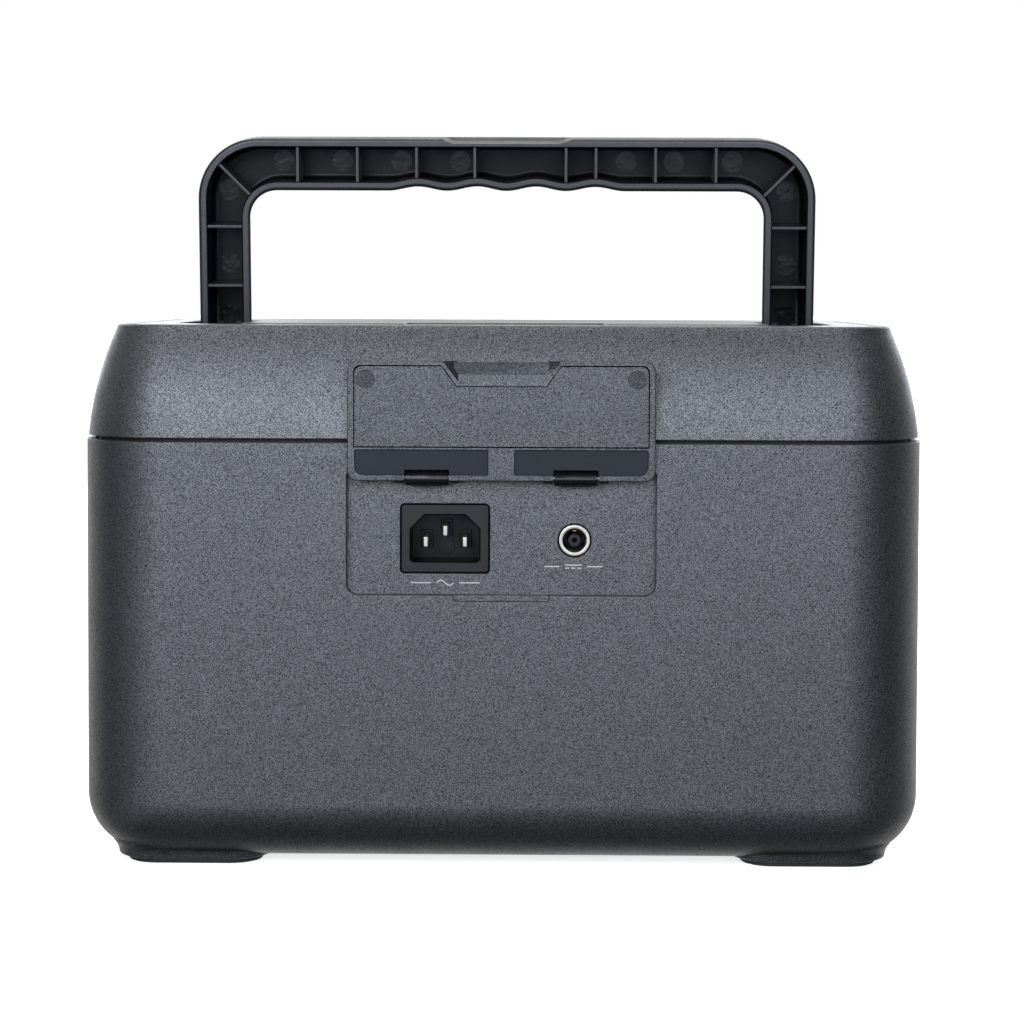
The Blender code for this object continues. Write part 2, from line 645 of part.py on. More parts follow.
def handle():
    axis = empty("handle_axis", HANDLE_AXIS, body)
    axis.rotation_euler = (HANDLE_LEAN, 0, 0)
    deep = 2 * HANDLE_HALF_DEPTH
    draw_in, back = HANDLE_FRONT_EDGE
    faces = [(0, -HANDLE_HALF_DEPTH), (0, HANDLE_HALF_DEPTH - back), (draw_in, HANDLE_HALF_DEPTH)]
    rings = []
    for inset, y in faces:
        draft = LEG_DRAFT * (y + HANDLE_HALF_DEPTH) / deep
        rings.append([(x, y, z) for x, z in handle_loop(inset, -HANDLE_HALF_DEPTH, draft)])
    grip = loft("handle", rings, BLACK, parent=axis)

    channel = plate(
        "handle_channel", [handle_loop(CHANNEL_WALL, CHANNEL_LOW)], deep, (0, -CHANNEL_WEB, 0),
        FACING_REAR, parent=axis,
    )
    bar = HANDLE_REACH - GRIP_HEIGHT / 2
    leg = HANDLE_HALF_WIDTH - LEG_WIDTH / 2
    rib_deep = deep - CHANNEL_WEB + RIB_SET_BACK
    rib_y = HANDLE_HALF_DEPTH - CHANNEL_WEB - (deep - CHANNEL_WEB) / 2 + RIB_SET_BACK
    ribs = [((RIB, rib_deep, 16 * MM), (x, rib_y, bar), 0) for x in RIB_X]
    for turn in (-1, 1):
        ribs += [((16 * MM, rib_deep, RIB), (turn * leg, rib_y, height), 0) for height in RIB_HEIGHTS]
        corner = (turn * CORNER_RIB.x, rib_y, CORNER_RIB.y)
        ribs.append(((RIB, rib_deep, 19 * MM), corner, turn * RIGHT_ANGLE / 2))
    cut(grip, channel)
    join(grip, blocks("handle_ribs", ribs, parent=axis))

    round_end = [(-12 * MM, -12 * MM), (12 * MM, -12 * MM), (12 * MM, 0)]
    round_end += arc((0, 0), HANDLE_HALF_DEPTH, 0, -2, 12) + [(-12 * MM, 0)]
    heel = plate("handle_heel", [round_end], 300 * MM, (0, 0, 0), (RIGHT_ANGLE, 0, RIGHT_ANGLE), parent=axis)
    hole = rod("handle_hole", BUSH_RADIUS + 0.3 * MM, 300 * MM, (0, 0, 0), "X", parent=axis)
    rest = loft("thumb_rest", [thumb_ring(x, lift) for x, lift in THUMB_STATIONS], parent=axis)
    cut(grip, heel, hole, rest)

    for side, turn in SIDES.items():
        centre = Vector((turn * leg, 0, 0))
        half = LEG_WIDTH / 2 - 0.3 * MM
        bore = PIVOT_PIN_RADIUS + 0.3 * MM
        tube = [(BUSH_RADIUS, half), (BUSH_RADIUS, -half), (bore, -half), (bore, half)]
        turned(f"handle_bush_{side}", tube, centre, (0, RIGHT_ANGLE, 0), NICKEL, 20, parent=axis)
        long = LEG_WIDTH + 2 * (GROOVE_GAP + TRAY_WALL) + 2 * MM
        rod(f"handle_pin_{side}", PIVOT_PIN_RADIUS, long, HANDLE_AXIS + centre, "X", STEEL)


# ------------------------------------------------------------------------------------ front panel


def front_panel():
    def hole(shape, centre):
        return [(centre[0] + x, centre[1] - FRONT_Z + y) for x, y in shape]

    edge = Vector((GAP, GAP))
    loops = [rounded(FRONT_HALF - edge, FRONT_RADIUS - GAP)]
    loops.append(hole(rounded(DISPLAY_HALF, 3 * MM, 2), DISPLAY))
    loops.append(hole(rounded(LAMP_HALF, LAMP_HALF.y - 0.1 * MM), LAMP))
    loops += [hole(circle(AC_RADIUS + GAP, (0, 0)), centre) for centre in AC_SOCKETS.values()]
    loops.append(hole(circle(CAR_RADIUS + GAP, (0, 0), 20), CAR_SOCKET))
    loops += [hole(rounded(USB_A_HALF + edge, 0.6 * MM, 1), centre) for centre in USB_A.values()]
    loops += [hole(rounded(USB_C_HALF + edge, 2 * MM, 2), centre) for centre in USB_C.values()]
    loops += [hole(circle(radius, (0, 0), 20), centre) for centre, radius in BUTTONS.values()]
    middle = HALF_DEPTH - FRONT_THICK / 2
    panel = plate("front_panel", loops, FRONT_THICK, (0, middle, FRONT_Z), FACING_FRONT, BLACK)
    outer = rounded(FRONT_HALF + Vector((3, 3)) * MM, FRONT_RADIUS)
    inner = rounded(FRONT_HALF - Vector((6, 5.5)) * MM, 3 * MM)
    flange = plate("front_flange", [outer, inner], 2.5 * MM, (0, 97.95 * MM, FRONT_Z), FACING_FRONT)
    join(panel, flange)


def display_and_lamp():
    edge = Vector((GAP, GAP))
    thick = 2 * MM
    centre = front(DISPLAY, HALF_DEPTH - thick / 2)
    plate("display_window", [rounded(DISPLAY_HALF - edge, 2.6 * MM, 2)], thick, centre, FACING_FRONT, GLOSS)
    block("display_module", (78 * MM, 3.5 * MM, 29 * MM), front(DISPLAY, 97 * MM), BLACK, 0.4 * MM)
    lens_thick = 3 * MM
    lens = rounded(LAMP_HALF - edge, LAMP_HALF.y - GAP - 0.1 * MM)
    plate("lamp_lens", [lens], lens_thick, front(LAMP, HALF_DEPTH - lens_thick / 2), FACING_FRONT, LENS)
    block("control_board", (150 * MM, 1.6 * MM, 44 * MM), (0, 86 * MM, 116 * MM), BOARD)


def front_turn(name, profile, centre, finish, sides=24, hollow=True):
    """A piece turned about an axis square to the front panel; height 0 is the panel's face."""
    return turned(name, profile, front(centre, HALF_DEPTH), (-RIGHT_ANGLE, 0, 0), finish, sides, hollow)


def sockets():
    well, back = -17 * MM, -26 * MM
    cup = [(0, well), (AC_WELL_RADIUS, well), (AC_WELL_RADIUS, 0), (AC_RADIUS, 0), (AC_RADIUS, back), (0, back)]
    for side, centre in AC_SOCKETS.items():
        socket = front_turn(f"ac_socket_{side}", cup, centre, BLACK, hollow=False)
        for place, offset in (("a", -9.5 * MM), ("b", 9.5 * MM)):
            hole_centre = front(centre + Vector((offset, 0)), HALF_DEPTH + well)
            cut(socket, rod(f"contact_hole_{side}_{place}", 2.6 * MM, 12 * MM, hole_centre, "Y", sides=12))
    bore, back = -34 * MM, -37 * MM
    tube = [(0, bore), (CAR_BORE, bore), (CAR_BORE, 0), (CAR_RADIUS, 0), (CAR_RADIUS, -2 * MM)]
    tube += [(12.4 * MM, -2 * MM), (12.4 * MM, back), (0, back)]
    front_turn("car_socket", tube, CAR_SOCKET, BLACK, 20, hollow=False)


def usb_port(name, half, radius, centre, tongue, depth):
    wall = Vector((0.45, 0.45)) * MM
    face = front(centre, HALF_DEPTH)
    middle = face - Vector((0, depth / 2, 0))
    shell = plate(name, [rounded(half, radius, 2)], depth, middle, FACING_FRONT, STEEL)
    inner = rounded(half - wall, radius - wall.x, 2)
    mouth = plate(f"{name}_mouth", [inner], 2 * (depth - 3 * MM), face, FACING_FRONT)
    strip = block(f"{name}_tongue", tongue, face - Vector((0, 1 * MM + tongue[1] / 2, 0)))
    cut(mouth, strip)
    cut(shell, mouth)


def usb_ports():
    for place, centre in USB_A.items():
        usb_port(f"usb_a_{place}", USB_A_HALF, 0.6 * MM, centre, (10.6 * MM, 14 * MM, 1.6 * MM), 14 * MM)
    for place, centre in USB_C.items():
        usb_port(f"usb_c_{place}", USB_C_HALF, 1.6 * MM, centre, (6.6 * MM, 9 * MM, 0.8 * MM), 9 * MM)


def buttons():
    for name, (centre, radius) in BUTTONS.items():
        shaft, flange = radius - GAP, radius + 1.2 * MM
        profile = [
            (0, BUTTON_PROUD), (shaft - 0.6 * MM, BUTTON_PROUD), (shaft, BUTTON_PROUD - 0.6 * MM),
            (shaft, -4.5 * MM), (flange, -4.5 * MM), (flange, -6 * MM), (0, -6 * MM),
        ]
        front_turn(name, profile, centre, BLACK, 20, hollow=False)


# ----------------------------------------------------------------------------------------- inside


def battery():
    floor, wall, tall = 2 * MM, 2 * MM, 16 * MM
    wide = CELLS * CELL_PITCH + 1 * MM
    deep = CELL.y + 1.4 * MM
    outer = (wide + 2 * wall, deep + 2 * wall, tall)
    tray = block("battery_tray", outer, (0, BATTERY_Y, TRAY_Z + tall / 2), BLACK)
    hollow = block("battery_tray_hollow", (wide, deep, 2 * (tall - floor)), (0, BATTERY_Y, TRAY_Z + tall))
    cut(tray, hollow)
    low = TRAY_Z + floor + 0.4 * MM
    for index in range(CELLS):
        x = (index - (CELLS - 1) / 2) * CELL_PITCH
        centre = (x, BATTERY_Y, low + CELL.z / 2)
        block(f"battery_cell_{index + 1}", CELL, centre, CELL_WRAP, 0.8 * MM)
    board_z = low + CELL.z + 2 * MM
    block("battery_board", (200 * MM, 96 * MM, 1.6 * MM), (0, BATTERY_Y, board_z), BOARD)


def inverter():
    block("inverter_board", (190 * MM, 112 * MM, 1.6 * MM), (4 * MM, -8 * MM, INVERTER_Z), BOARD)
    low = INVERTER_Z + 1.1 * MM
    core = block("inverter_transformer", (42 * MM, 36 * MM, 34 * MM), (-45 * MM, 8 * MM, low + 17 * MM), COPPER)
    winding = block("transformer_yoke", (30 * MM, 44 * MM, 20 * MM), (-45 * MM, 8 * MM, low + 17 * MM))
    join(core, winding)
    fins, thick, base, tall, pitch = 9, 2 * MM, 4 * MM, 32 * MM, 8 * MM
    wide = (fins - 1) * pitch + thick
    loop = [(-wide / 2, 0), (wide / 2, 0)]
    for fin in reversed(range(fins)):
        x = (fin - (fins - 1) / 2) * pitch
        loop += [(x + thick / 2, base), (x + thick / 2, tall), (x - thick / 2, tall), (x - thick / 2, base)]
    # The end fins stand flush with the base's ends, so those two points would lie on straight edges.
    loop = loop[:2] + loop[3:-1]
    plate("heat_sink", [loop], 60 * MM, (46 * MM, -20 * MM, low), FACING_REAR, ALUMINIUM)


def fan():
    centre = Vector((FAN_X, VENT_Y, VENT_Z))
    thick = 15 * MM
    sideways = (RIGHT_ANGLE, 0, RIGHT_ANGLE)
    outer = rounded((FAN_HALF, FAN_HALF), 3 * MM, 2)
    bore = circle(FAN_HALF - 2 * MM, (0, 0))
    frame = plate("fan_frame", [outer, bore], thick, centre, sideways, BLACK)
    spider = blocks(
        "fan_spider", [((2 * MM, 58 * MM, 4 * MM), centre + Vector((thick / 2 - 1 * MM, 0, 0)), 0)]
    )
    seat = rod("fan_seat", 8 * MM, 2 * MM, centre + Vector((thick / 2 - 1 * MM, 0, 0)), "X")
    join(frame, spider, seat)
    axis = empty("fan_axis", centre, body)
    hub = [(0, 5 * MM), (11 * MM, 5 * MM), (11 * MM, -6 * MM), (0, -6 * MM)]
    rotor = turned(
        "fan_rotor", hub, (-1 * MM, 0, 0), (0, -RIGHT_ANGLE, 0), BLACK, 21, hollow=False, parent=axis
    )
    for index in range(FAN_BLADES):
        bm = bmesh.new()
        shape = Matrix.Translation((0, 0, 18 * MM)) @ Matrix.Rotation(math.radians(38), 4, "Z")
        bmesh.ops.create_cube(bm, size=1, matrix=shape @ Matrix.Diagonal((1.4 * MM, 11 * MM, 17 * MM, 1)))
        name = f"fan_blade_{index + 1}"
        turn = (2 * math.pi * index / FAN_BLADES, 0, 0)
        join(rotor, add(name, mesh_of(name, bm), None, (-1 * MM, 0, 0), turn, axis))


lower_housing()
deck_rim = upper_housing()
seam_seal()
top_deck(deck_rim)
feet()
vents()
port_panel()
ac_inlet()
dc_jack()
port_door()
door_hinges()
handle()
front_panel()
display_and_lamp()
sockets()
usb_ports()
buttons()
battery()
inverter()
fan()
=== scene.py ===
"""Looks of the portable power station: finer pieces and finishes over its CAD frame, and the studio."""

from functools import partial
from math import cos, pi, radians, sin

import bmesh
import bpy
from mathutils import Matrix, Vector


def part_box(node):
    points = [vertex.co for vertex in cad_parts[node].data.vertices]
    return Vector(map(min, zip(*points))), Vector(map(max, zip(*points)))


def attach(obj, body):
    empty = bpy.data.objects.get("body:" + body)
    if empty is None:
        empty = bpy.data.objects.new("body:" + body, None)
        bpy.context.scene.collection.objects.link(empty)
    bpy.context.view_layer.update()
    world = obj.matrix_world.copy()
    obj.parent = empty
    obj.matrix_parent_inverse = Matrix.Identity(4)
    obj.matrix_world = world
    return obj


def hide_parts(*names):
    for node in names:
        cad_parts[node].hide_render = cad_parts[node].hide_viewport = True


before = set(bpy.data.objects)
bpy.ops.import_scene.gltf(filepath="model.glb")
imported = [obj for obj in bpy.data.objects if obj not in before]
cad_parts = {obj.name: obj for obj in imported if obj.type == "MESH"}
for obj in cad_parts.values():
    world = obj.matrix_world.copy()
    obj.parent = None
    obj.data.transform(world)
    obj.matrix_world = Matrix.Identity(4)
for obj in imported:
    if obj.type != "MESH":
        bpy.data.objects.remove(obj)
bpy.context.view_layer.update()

MM = 0.001


def vec(*sizes):
    return Vector(sizes)


def mm(*sizes):
    """A vector given in millimetres."""
    return Vector(sizes) * MM


def pairs(*points):
    return [mm(*point) for point in points]


# Housing, as the CAD has it.
HALF_WIDTH = 152.5 * MM
HALF_DEPTH = 102.5 * MM
PLAN_RADIUS = 32 * MM
WALL = 3 * MM
FLOOR_Z = 2.8 * MM
FLOOR_RADIUS = 22 * MM
SEAM_LOW_Z = 154.4 * MM
SEAM_HIGH_Z = 155.6 * MM
SEAM_EDGE = 0.4 * MM
DECK_Z = 196 * MM
UPPER_STEP = 0.5 * MM
DECK_EDGE_RADIUS = 1.5 * MM
DECK_RIM = 4.2 * MM
DECK_SHELF = 4 * MM
DECK_PLATE = 3 * MM
GAP = 0.4 * MM
WELL_CLEAR = 2 * MM

# Feet.
FOOT_CENTRE = mm(112.25, 71.5)
FOOT_HALF = mm(28.25, 19.5)
FOOT_RADIUS = 15 * MM
FOOT_FACE_Z = 2.2 * MM
FOOT_FLARE = pairs(
    (-0.6, 2.2), (-0.2, 2.4), (0, 2.8), (0.15, 3.8), (0.5, 5), (1.1, 6.2), (2, 7.2), (2.6, 9.2)
)
PAD_MARGIN = 3.6 * MM

# Charging ports at the rear, and the door over them.
PORT_X = 0
PORT_HALF_WIDTH = 55 * MM
PORT_LOW_Z = 100.2 * MM
PORT_HIGH_Z = 146 * MM
PORT_RADIUS = 3.9 * MM
PANEL_FACE_Y = -99.1 * MM
PANEL_THICK = 2.5 * MM
PANEL_MARGIN = 6 * MM
PANEL_TOP_Z = 149.1 * MM
DOOR_HALF_WIDTH = 54.5 * MM
DOOR_THICK = 3 * MM
DOOR_AXIS = vec(PORT_X, -103 * MM, 142.1 * MM)
DOOR_BELOW_AXIS = 0.9 * MM
DOOR_TOP_Z = 183.7 * MM
DOOR_BACK = 0.5 * MM
HINGE_X = mm(-26.4, 26.4)
BARREL_RADIUS = 2.7 * MM
BARREL_HALF = 7.6 * MM
EAR_RADIUS = 1.9 * MM
EAR_WIDTH = 3.6 * MM
HINGE_PIN_RADIUS = 0.8 * MM
NOTCH_MOUTH = mm(21, 16.5)
NOTCH_FLOOR = 15.3 * MM
# Thickness of the dark wall at the back of the finger notch, which paints the shade behind the door there.
NOTCH_SHADE_WALL = 0.7 * MM
NOTCH_DEPTH = mm(7.8, 3.8)
INLET = mm(-20.1, 0, 120.1)
INLET_HALF = mm(15.6, 12.1)
CAVITY_HALF = mm(12.25, 8.35)
CAVITY_CHAMFER = 5 * MM
CAVITY_DEPTH = 16 * MM
INLET_DEPTH = 20 * MM
PINS = {"line": mm(-7, -1.5), "neutral": mm(7, -1.5), "earth": mm(0, 2.5)}
JACK = mm(26.1, 0, 119.6)
JACK_RADIUS = 5.6 * MM
JACK_BORE = 4.07 * MM
JACK_LONG = 14 * MM

# Handle. Its heights are taken along its legs, up from its axis; at rest it leans to the rear.
HANDLE_AXIS = vec(0, 20 * MM, DECK_Z - 10.5 * MM)
HANDLE_LEAN = radians(6)
HANDLE_REACH = 84.2 * MM
HANDLE_HALF_WIDTH = 122 * MM
HANDLE_HALF_DEPTH = 10.5 * MM
HANDLE_RADIUS = 24 * MM
HANDLE_REAR_EDGE = mm(1.5, 1.5)
HANDLE_FRONT_EDGE = mm(2.4, 6)
LEG_WIDTH = 20.6 * MM
LEG_DRAFT = 2.4 * MM
GRIP_HEIGHT = 20.6 * MM
INNER_RADIUS = 10.7 * MM
CHANNEL_WALL = 3.6 * MM
CHANNEL_WEB = 2.5 * MM
CHANNEL_LOW = 7.6 * MM
RIB = 1.2 * MM
RIB_SET_BACK = 0.8 * MM
RIB_X = mm(-82.6, -59, -35.6, -12.6, 23.4, 35.2, 58.7, 82.5)
RIB_HEIGHTS = mm(49.3, 25.8)
CORNER_RIB = mm(108, 68.3)
MARK_X = mm(-89.7, -66.1, -42.5, -18.8, 47.6, 66.8, 90.2)
MARK_LEG_X = 112.2 * MM
MARK_HEIGHTS = mm(62.5, 33.1, 12.5)
FINGER_PITCH = 23.4 * MM
FINGER_DEPTH = 1.8 * MM
FINGERS = 4
THUMB_STATIONS = pairs(
    (-28.5, 2.6), (-25, 1.4), (-22.2, 0.4), (-20.6, 0), (20.6, 0), (22.2, 0.4), (25, 1.4), (28.5, 2.6)
)
THUMB_SECTION = pairs((-12, -2.1), (-1, -1.2), (1, -0.9), (2, -0.2), (2.5, 0.4))
PIVOT_PIN_RADIUS = 3 * MM
BUSH_RADIUS = 5.2 * MM
GROOVE_GAP = 1.2 * MM
TRAY_WALL = 2 * MM

# Front panel, seen from the front with u to the right, so u is -X. Centres are (u, z).
FRONT_HALF = mm(117, 56)
FRONT_Z = 86 * MM
FRONT_RADIUS = 8 * MM
FRONT_THICK = 4 * MM
DISPLAY = mm(0, 117)
DISPLAY_HALF = mm(42, 17)
LAMP = mm(-79, 121)
LAMP_HALF = mm(27, 9)
AC_SOCKETS = {"left": mm(40, 66), "right": mm(86, 66)}
AC_RADIUS = 22 * MM
AC_WELL_RADIUS = 19.5 * MM
SOCKET_RAILS = [(0, turn, mm(4.6, 13, 2), 0.3 * MM) for turn in (1, -1)]
SOCKET_RAILS += [(turn, 0, mm(2.4, 13, 5.5), 0.4 * MM) for turn in (-1, 1)]
CAR_SOCKET = mm(-92, 62)
CAR_RADIUS = 14 * MM
CAR_BORE = 10.5 * MM
USB_A = {"upper": mm(-58, 75), "lower": mm(-58, 55)}
USB_A_HALF = mm(6.6, 2.9)
USB_C = {"upper": mm(-36, 75), "lower": mm(-36, 55)}
USB_C_HALF = mm(4.6, 1.8)
BUTTONS = {
    "power_button": (mm(62, 117), 7.5 * MM, "power_key"),
    "ac_button": (mm(95, 117), 6 * MM, "ac_key"),
    "dc_button": (mm(-10, 65), 6 * MM, "dc_key"),
    "lamp_button": (mm(-79, 97), 6 * MM, "lamp_key"),
}
BUTTON_PROUD = 1 * MM

# Side vents.
VENT_Y = -20 * MM
VENT_Z = 105 * MM
VENT_HALF = mm(34, 30)
VENT_SLOTS = 8

SIDES = {"left": -1, "right": 1}
CORNERS = {
    "rear_left": (-1, -1),
    "rear_right": (1, -1),
    "front_left": (-1, 1),
    "front_right": (1, 1),
}
RIGHT_ANGLE = pi / 2
FLAT = (0, 0, 0)
TO_REAR = (RIGHT_ANGLE, 0, 0)
TO_FRONT = (RIGHT_ANGLE, 0, pi)
TO_SIDE = (RIGHT_ANGLE, 0, RIGHT_ANGLE)

low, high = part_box("lower_housing")
BODY = Vector((0, (low.y + high.y) / 2, 0))


# --- finishes ---


def srgb(red, green, blue):
    """A colour given in display values from 0 to 255."""
    return tuple((value / 255) ** 2.2 for value in (red, green, blue))


def finish(name, colour, roughness, metallic=0.0, **sockets):
    made = bpy.data.materials.new(name)
    made.use_nodes = True
    tree = made.node_tree
    shader = tree.nodes["Principled BSDF"]
    shader.inputs["Base Color"].default_value = (*colour, 1.0)
    shader.inputs["Roughness"].default_value = roughness
    shader.inputs["Metallic"].default_value = metallic
    for socket, value in sockets.items():
        shader.inputs[socket.replace("_", " ")].default_value = value
    return made, tree, shader


def feed(tree, socket, value):
    """Links a socket, or sets it."""
    if isinstance(value, bpy.types.NodeSocket):
        tree.links.new(value, socket)
    else:
        socket.default_value = value


def node(tree, kind, **settings):
    """A shader node. A setting that is the name of a socket goes to it, linked or as a value."""
    made = tree.nodes.new("ShaderNode" + kind)
    for key, value in settings.items():
        socket = made.inputs.get(key.replace("_", " "))
        if socket is None:
            setattr(made, key, value)
        else:
            feed(tree, socket, value)
    return made


def drive(shader, **sockets):
    """Links the shader's sockets."""
    for socket, value in sockets.items():
        shader.id_data.links.new(value, shader.inputs[socket.replace("_", " ")])


def place(tree):
    return node(tree, "TexCoord").outputs["Object"]


def calc(tree, operation, a, b=0.0):
    made = node(tree, "Math", operation=operation)
    for socket, value in zip(made.inputs, (a, b)):
        feed(tree, socket, value)
    return made.outputs[0]


def ramp(tree, value, *stops):
    """Stops are (position, grey) or (position, colour)."""
    made = node(tree, "ValToRGB", Fac=value)
    elements = made.color_ramp.elements
    while len(elements) < len(stops):
        elements.new(0.5)
    for element, (position, colour) in zip(elements, stops):
        element.position = position
        element.color = (*colour, 1) if isinstance(colour, tuple) else (colour, colour, colour, 1)
    return made.outputs["Color"]


def blend(tree, share, a, b, mode="MIX"):
    made = node(tree, "Mix", data_type="RGBA", blend_type=mode)
    for socket, value in zip((made.inputs[0], made.inputs[6], made.inputs[7]), (share, a, b)):
        feed(tree, socket, (*value, 1) if isinstance(value, tuple) else value)
    return made.outputs[2]


def noise(tree, at, size, detail=2.0, roughness=0.5):
    """Noise whose waves are about as long as the size."""
    made = node(tree, "TexNoise", Vector=at, Scale=1 / size, Detail=detail, Roughness=roughness)
    return made.outputs["Fac"]


def relief(tree, shader, height, depth, strength=1.0):
    bump = node(tree, "Bump", Height=height, Distance=depth, Strength=strength)
    drive(shader, Normal=bump.outputs["Normal"])


GLINT = 0.7


def grained(name, ground, fleck, size, depth, roughness, sparkle=1.0, glint=GLINT):
    """Moulded grain: crystals that catch the light unequally, their relief, and slow changes of tone."""
    ground, fleck, size = srgb(*ground), srgb(*fleck), size * MM
    made, tree, shader = finish(name, ground, roughness)
    at = place(tree)
    cells = node(tree, "TexVoronoi", Vector=at, Scale=1 / size, Randomness=1.0)
    tone = node(tree, "SeparateColor", Color=cells.outputs["Color"]).outputs[0]
    fine = noise(tree, at, size * 0.9, 2.0, 0.6)
    mixed = calc(tree, "ADD", calc(tree, "MULTIPLY", tone, 0.6), calc(tree, "MULTIPLY", fine, 0.4))
    flecks = ramp(tree, mixed, (0.25, 0.0), (0.75, 1.0))
    colour = blend(tree, flecks, ground, fleck)
    patches = ramp(tree, noise(tree, at, 45 * MM, 3.0), (0.3, 0.95), (0.7, 1.04))
    colour = blend(tree, 1.0, colour, patches, "MULTIPLY")
    drive(shader, Base_Color=colour)
    shine = ramp(tree, mixed, (0.25, glint * (1 - sparkle)), (0.75, glint * (1 + sparkle)))
    drive(shader, Specular_IOR_Level=shine)
    sheen = ramp(tree, noise(tree, at, 12 * MM), (0.3, roughness - 0.03), (0.7, roughness + 0.03))
    drive(shader, Roughness=sheen)
    relief(tree, shader, mixed, depth * MM)
    return made


def satin(name, colour, roughness, grain, depth, wear=0.12, flanks=0.0, **sockets):
    """Fine-grained satin moulding with faint handling marks, paler worn edges and duller flanks."""
    colour = srgb(*colour)
    made, tree, shader = finish(name, colour, roughness, **sockets)
    at = place(tree)
    patches = ramp(tree, noise(tree, at, 25 * MM, 4.0), (0.3, 0.92), (0.7, 1.08))
    worn = ramp(tree, node(tree, "NewGeometry").outputs["Pointiness"], (0.53, 0.0), (0.62, wear))
    base = blend(tree, 1.0, colour, patches, "MULTIPLY")
    pale = tuple(min(1.0, 2.4 * value) for value in colour)
    drive(shader, Base_Color=blend(tree, worn, base, pale))
    rough = ramp(tree, noise(tree, at, 8 * MM, 5.0, 0.65), (0.3, roughness - 0.06), (0.75, roughness + 0.08))
    across = node(tree, "SeparateXYZ", Vector=node(tree, "NewGeometry").outputs["Normal"]).outputs["X"]
    flank = ramp(tree, calc(tree, "ABSOLUTE", across), (0.8, 0.0), (0.97, flanks))
    drive(shader, Roughness=calc(tree, "ADD", rough, flank))
    relief(tree, shader, noise(tree, at, grain * MM, 3.0), depth * MM)
    return made


def bare_metal(name, colour, roughness, grain=0.25, depth=0.004, stretch=(1, 1, 1)):
    """Plated or brushed metal, with fine scratches drawn out along one axis, and dull patches."""
    colour = srgb(*colour)
    made, tree, shader = finish(name, colour, roughness, 1.0)
    at = place(tree)
    drawn = node(tree, "Mapping", Vector=at, Scale=stretch).outputs["Vector"]
    scratches = noise(tree, drawn, grain * MM, 4.0, 0.6)
    patches = noise(tree, at, 3 * MM, 3.0)
    drive(shader, Roughness=ramp(tree, patches, (0.3, roughness * 0.8), (0.75, roughness * 1.5)))
    dull = tuple(value * 0.78 for value in colour)
    drive(shader, Base_Color=blend(tree, ramp(tree, patches, (0.45, 0.0), (0.8, 0.6)), colour, dull))
    relief(tree, shader, scratches, depth * MM)
    return made


def board(name, mask, copper):
    """Circuit board: solder mask over tracks laid out on a grid, with bright pads."""
    mask, copper = srgb(*mask), srgb(*copper)
    made, tree, shader = finish(name, mask, 0.35)
    at = place(tree)
    tracks = node(tree, "TexBrick", Vector=at, Scale=120.0, Mortar_Size=0.03, Color1=(0, 0, 0, 1),
                  Color2=(0, 0, 0, 1), Mortar=(1, 1, 1, 1)).outputs["Color"]
    pads = node(tree, "TexVoronoi", Vector=at, Scale=190.0, Randomness=0.35)
    dots = ramp(tree, pads.outputs["Distance"], (0.16, 1.0), (0.2, 0.0))
    raised = tuple(value * 2.2 for value in mask)
    colour = blend(tree, tracks, mask, raised)
    colour = blend(tree, dots, colour, copper)
    drive(shader, Base_Color=colour)
    drive(shader, Metallic=dots)
    relief(tree, shader, calc(tree, "ADD", tracks, dots), 0.06 * MM)
    return made


CASE = grained("case_grain", (21, 22, 23), (26, 27, 28), 0.18, 0.1, 0.44, 1.8)
DECK = grained("deck_grain", (28, 29, 30), (33, 34, 36), 0.18, 0.03, 0.4, 0.8)
DOOR = grained("door_grain", (24, 25, 26), (29, 30, 31), 0.18, 0.05, 0.46, 1.1)
# Dark grain for the magnet covers. The same dark grain also closes the back of the finger notch as painted
# shade.
MAGNET_COVER_AND_NOTCH_SHADE = grained("magnet_cover_and_notch_shade_grain", (14, 15, 16), (24, 25, 26), 0.18, 0.03, 0.5, 0.8, 0.45)
POCKET = satin("pocket_smooth", (24, 27, 32), 0.42, 0.5, 0.006, Specular_IOR_Level=0.16)
BLACK = satin("black_satin", (25, 26, 27), 0.44, 0.22, 0.025, flanks=0.5)
# Darker than the handle's own black: painted shade inside the handle's channel, and in the hinge slots under
# the barrels.
CHANNEL_PAINTED_SHADE = satin("channel_painted_shade", (17, 18, 19), 0.36, 1.4, 0.02, 0.0, Specular_IOR_Level=0.1)
# Ejector marks: their bumps are real, but their colour is as dark as the channel floor they sit on, so it
# carries the same painted shade.
EJECTOR_MARK_IN_SHADE = satin("ejector_mark_in_painted_shade", (18, 19, 20), 0.24, 3.5, 0.35, 0.0, Specular_IOR_Level=0.15)
PANEL = satin("panel_black", (26, 27, 28), 0.42, 0.25, 0.02)
BEZEL = satin("bezel_black", (20, 21, 22), 0.48, 0.2, 0.02, Specular_IOR_Level=0.22)
# Darker black: the sockets' own moulding, and painted shade on the walls of the mains inlet's cavity and of
# the front panel's group grooves.
WELL_BLACK_AND_SHADE = satin("well_black_and_painted_shade", (14, 15, 16), 0.34, 0.3, 0.012, Specular_IOR_Level=0.12)
